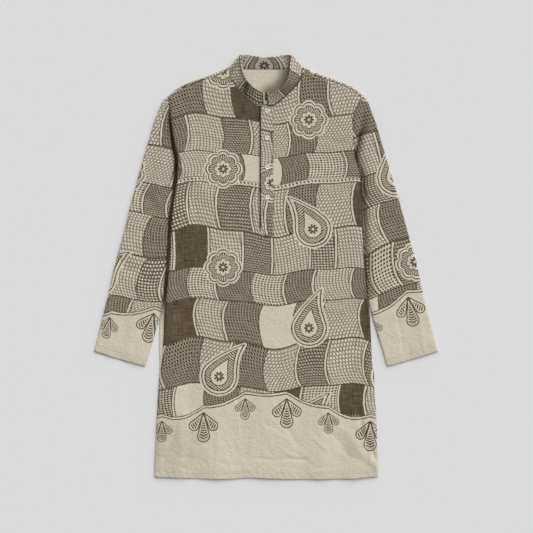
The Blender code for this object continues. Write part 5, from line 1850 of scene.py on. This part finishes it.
def sewn(name, lines, tree, settings=()):
    """Stitches along lines of points, made into a plain mesh."""
    points = []
    edges = []
    for line in lines:
        first = len(points)
        points += [[value * MM for value in point] for point in line]
        edges += [(k, k + 1) for k in range(first, len(points) - 1)]
    path = bpy.data.meshes.new(name + "_path")
    path.from_pydata(points, edges, [])
    made = add_object(name, path)
    layer = made.modifiers.new("stitches", "NODES")
    layer.node_group = tree
    wanted = dict(settings)
    for socket in tree.interface.items_tree:
        if socket.in_out == "INPUT" and socket.name in wanted:
            layer[socket.identifier] = wanted[socket.name] * MM
    graph = bpy.context.evaluated_depsgraph_get()
    real = bpy.data.meshes.new_from_object(made.evaluated_get(graph))
    made.modifiers.remove(layer)
    made.data = real
    bpy.data.meshes.remove(path)
    real.name = name
    return made


def offset_line(curve, inward):
    """A line in plan moved sideways by a distance, to its left for a positive one."""
    run = np.gradient(curve, axis=0)
    run /= np.linalg.norm(run, axis=1)[:, None]
    return curve + inward * np.column_stack([-run[:, 1], run[:, 0]])


def hem_lines():
    """The hem's stitching from slit to slit, and up the slits' edges."""
    left, right = (body_edge(side, HEM_END_Y) - side * HEM_END_INSET for side in (-1, 1))
    x = np.linspace(left, right, HEM_POINTS)
    lines = [np.column_stack([x, HEM_Y(x) + HEM_SEAM])]
    for side in (-1, 1):
        y = np.linspace(SLIT_FOOT_Y, SLIT_HEAD_Y, SLIT_POINTS)
        lines.append(np.column_stack([body_edge(side, y) - side * SLIT_SEAM, y]))
        edge_x = body_edge(side, SLIT_HEAD_Y)
        lines.append([(edge_x - side * inset, SLIT_HEAD_Y) for inset in (SLIT_SEAM, SLIT_EDGE)])
    return lines


def cuff_lines():
    """The stitching across the top of each cuff."""
    lines = []
    for side in (-1, 1):
        down = [1 - CUFF_SEAM / SLEEVE_LENGTH]
        west, east = (along(edge, down)[0] for edge in sleeve_edges(side)[:2])
        share = np.linspace(*CUFF_SPAN)[:, None]
        line = west + share * (east - west)
        line[:, 1] -= CUFF_BOW * np.sin(math.pi * share[:, 0])
        lines.append(line)
    return lines


def placket_lines():
    """The stitching round the over strip, with a box at its foot."""
    left = OVER_LEFT + STRIP_SEAM
    right = OVER_RIGHT - STRIP_SEAM_RIGHT
    top = OVER_TOP[0] - STRIP_SEAM_TOP
    bottom = OVER_BOTTOM + STRIP_SEAM
    box_top = bottom + STRIP_BOX
    box = [(right, top), (right, bottom), (left, bottom), (left, box_top), (right, box_top)]
    return [[(left, box_top), (left, top)], box]


def shoulder_lines():
    """The stitching along each shoulder seam, on the front."""
    lines = []
    for side in (-1, 1):
        line = seam_at(side, np.linspace(*SHOULDER_SPAN))
        lines.append(offset_line(line, -side * SHOULDER_SEAM))
    return lines


# Buttons by the middle of the underside, tipped about X, and their turned outline.
BUTTONS = (
    ("node", "x", "y", "z", "tilt", "scale"),
    ("button_1", 2.9, 375.2, 7.68, 0.0, 1.0),
    ("button_2", 2.7, 310.2, 6.58, 0.0, 1.0),
    ("button_3", 3.1, 239.8, 6.5, 0.0, 1.0),
    ("button_4", 3.8, 168.0, 6.5, 0.0, 1.0),
    ("button_neck", -1.6, 395.61, 8.56, 32.64, 0.82),
)
BUTTON_OUTLINE = (
    (0.0, 0.0),
    (4.2, 0.0),
    (4.75, 0.15),
    (5.2, 0.5),
    (5.43, 0.85),
    (5.5, 1.2),
    (5.45, 1.65),
    (5.3, 2.0),
    (5.05, 2.28),
    (4.7, 2.4),
    (4.3, 2.38),
    (4.0, 2.25),
    (3.75, 2.0),
    (3.45, 1.72),
    (2.9, 1.6),
    (0.0, 1.6),
)
# A button's own measures, in millimetres before its scale.
BUTTON_SIDES = 48
BUTTON_SHARP = math.radians(40.0)
BUTTON_WELD = 0.001
HOLE_SIDES = 20
HOLE_RADIUS = 0.75
HOLE_SPREAD = 1.35
HOLES = [math.pi / 4 + quarter * math.pi / 2 for quarter in range(4)]
PIN_MIDDLE = 1.0
PIN_LENGTH = 6.0
THREAD_FOOT = 1.35
THREAD_ARCH = 1.1
ARCH_POINTS = 9
BUTTON_THREAD = {"Pitch": 0.4, "Length": 0.6, "Radius": 0.34}


def button_place(row):
    """Turns a button's own millimetres into its place on the garment."""
    tip = Matrix.Rotation(math.radians(row["tilt"]), 4, "X")
    spot = Matrix.Translation([row[axis] * MM for axis in "xyz"])
    return spot @ tip @ Matrix.Scale(row["scale"] * MM, 4)


def make_button(row, pearl):
    """A turned shirt button with a raised rim, a well and four thread holes."""
    name = row["node"] + "_turned"
    work = bmesh.new()
    outline = [work.verts.new((r, 0.0, z)) for r, z in BUTTON_OUTLINE]
    edges = [work.edges.new(pair) for pair in zip(outline, outline[1:])]
    turning = {"cent": (0.0, 0.0, 0.0), "axis": (0.0, 0.0, 1.0), "angle": math.tau}
    bmesh.ops.spin(work, geom=outline + edges, steps=BUTTON_SIDES, use_merge=True, **turning)
    bmesh.ops.remove_doubles(work, verts=work.verts, dist=BUTTON_WELD)
    bmesh.ops.recalc_face_normals(work, faces=work.faces)
    mesh = bpy.data.meshes.new(name)
    work.to_mesh(mesh)
    work.clear()
    pin = {"segments": HOLE_SIDES, "radius1": HOLE_RADIUS, "radius2": HOLE_RADIUS}
    pin["depth"] = PIN_LENGTH
    for angle in HOLES:
        x, y = HOLE_SPREAD * math.cos(angle), HOLE_SPREAD * math.sin(angle)
        spot = Matrix.Translation((x, y, PIN_MIDDLE))
        bmesh.ops.create_cone(work, cap_ends=True, matrix=spot, **pin)
    pins = bpy.data.meshes.new(name + "_pins")
    work.to_mesh(pins)
    work.free()
    cutter = add_object(name + "_pins", pins)
    made = add_object(name, mesh)
    cut = made.modifiers.new("thread holes", "BOOLEAN")
    cut.operation = "DIFFERENCE"
    cut.solver = "EXACT"
    cut.object = cutter
    graph = bpy.context.evaluated_depsgraph_get()
    bored = bpy.data.meshes.new_from_object(made.evaluated_get(graph))
    made.modifiers.remove(cut)
    made.data = bored
    bpy.data.batch_remove((cutter, pins, mesh))
    bored.transform(button_place(row))
    bored.shade_smooth()
    bored.set_sharp_from_angle(angle=BUTTON_SHARP)
    bored.materials.clear()
    bored.materials.append(pearl)
    return made


def button_threads():
    """Two arches of thread across the holes of each button."""
    arches = []
    reach = HOLE_SPREAD / math.sqrt(2)
    for row in rows_of(BUTTONS):
        place = button_place(row)
        for side in (-1, 1):
            arch = []
            for turn in np.linspace(0.0, math.pi, ARCH_POINTS):
                height = THREAD_FOOT + THREAD_ARCH * math.sin(turn)
                spot = place @ Vector((-reach * math.cos(turn), side * reach, height))
                arch.append([value / MM for value in spot])
            arches.append(arch)
    return arches


# Studio, in metres: a long lens straight above, a wide soft light from the viewer's
# upper right and an even room light.
CAMERA_LENS = 135.0
CAMERA_REACH = 30.0
CAMERA_HEIGHT = 4.803
CAMERA_MIDDLE = (0.0012, 0.0018)
FLOOR_SIZE = 12.0
FLOOR_LEVEL = -0.0003
SUN_FROM = (0.42, 0.66, 0.62)
SUN_SPREAD = math.radians(84.0)
SUN_STRENGTH = 3.43
ROOM_LIGHT = 0.32


def make_studio():
    """Camera straight above, paper floor, one wide soft light and an even room light."""
    scene = bpy.context.scene
    scene.view_settings.view_transform = "Standard"
    lens = bpy.data.cameras.new("camera")
    lens.lens = CAMERA_LENS
    lens.clip_end = CAMERA_REACH
    camera = add_object("camera", lens)
    camera.location = (*CAMERA_MIDDLE, CAMERA_HEIGHT)
    scene.camera = camera
    mesh = bpy.data.meshes.new("floor")
    half = FLOOR_SIZE / 2
    corners = [(-half, -half), (half, -half), (half, half), (-half, half)]
    mesh.from_pydata([(*corner, FLOOR_LEVEL) for corner in corners], [], [(0, 1, 2, 3)])
    mesh.materials.append(studio_paper())
    floor = add_object("floor", mesh)
    light = bpy.data.lights.new("key", "SUN")
    light.energy = SUN_STRENGTH
    light.angle = SUN_SPREAD
    sun = add_object("key", light)
    sun.rotation_euler = Vector(SUN_FROM).to_track_quat("Z", "Y").to_euler()
    world = bpy.data.worlds.new("room")
    world.use_nodes = True
    sky = world.node_tree.nodes["Background"]
    sky.inputs["Color"].default_value = (1.0, 1.0, 1.0, 1.0)
    sky.inputs["Strength"].default_value = ROOM_LIGHT
    scene.world = world


def dressed(piece, slot, *nodes):
    """A finished piece rides on the garment and stands for its solid."""
    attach(piece, "root")
    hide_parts(*nodes)
    return piece


def make_cloth():
    """The sheets of cloth, each standing for its solid."""
    printed = linen("linen_block_printed", True)
    both = [printed, linen("linen_reverse", False)]
    lower = [linen("linen_block_printed_back", True, False), both[1]]
    back = dressed(make_back(lower), "plain_linen", "back_panel")
    front = dressed(make_front(both), "printed_linen", "front_panel")
    place = (SLOT_LEFT + GAP, SLOT_RIGHT - GAP, SLOT_BOTTOM + GAP, UNDER_TOP, UNDER_LIFT)
    under = make_strip("placket_under_cloth", *place, UNDER_COLUMNS, [printed])
    place = (OVER_LEFT, OVER_RIGHT, OVER_BOTTOM, OVER_TOP, GAP)
    over = make_strip("placket_over_cloth", *place, OVER_COLUMNS, [printed])
    dressed(under, "printed_linen", "placket_under")
    dressed(over, "printed_linen", "placket_over")
    collar = dressed(make_collar(lower[0], printed), "printed_linen", "collar_band")
    left = dressed(make_sleeve(1, both), "printed_linen", "sleeve_left")
    right = dressed(make_sleeve(-1, both), "printed_linen", "sleeve_right")


def main():
    """The studio, the cloth, the sewing and the buttons."""
    make_studio()
    make_cloth()
    plain = stitch_tree(sewing_thread("spun_thread", "#a0957f", "#c2b8a3"))
    strong = stitch_tree(sewing_thread("button_thread", "#54493a", "#7d705b"))
    pieces = [
        sewn("hem_stitches", map(on_cloth, hem_lines()), plain),
        sewn("cuff_stitches", map(on_cloth, cuff_lines()), plain),
        sewn("placket_stitches", map(on_cloth, placket_lines()), plain),
        sewn("shoulder_stitches", map(on_cloth, shoulder_lines()), plain),
        sewn("button_threads", button_threads(), strong, BUTTON_THREAD),
    ]
    for piece in pieces:
        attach(piece, "root")
    pearl = pearl_button()
    for row in rows_of(BUTTONS):
        dressed(make_button(row, pearl), "pearl_button", row["node"])


main()
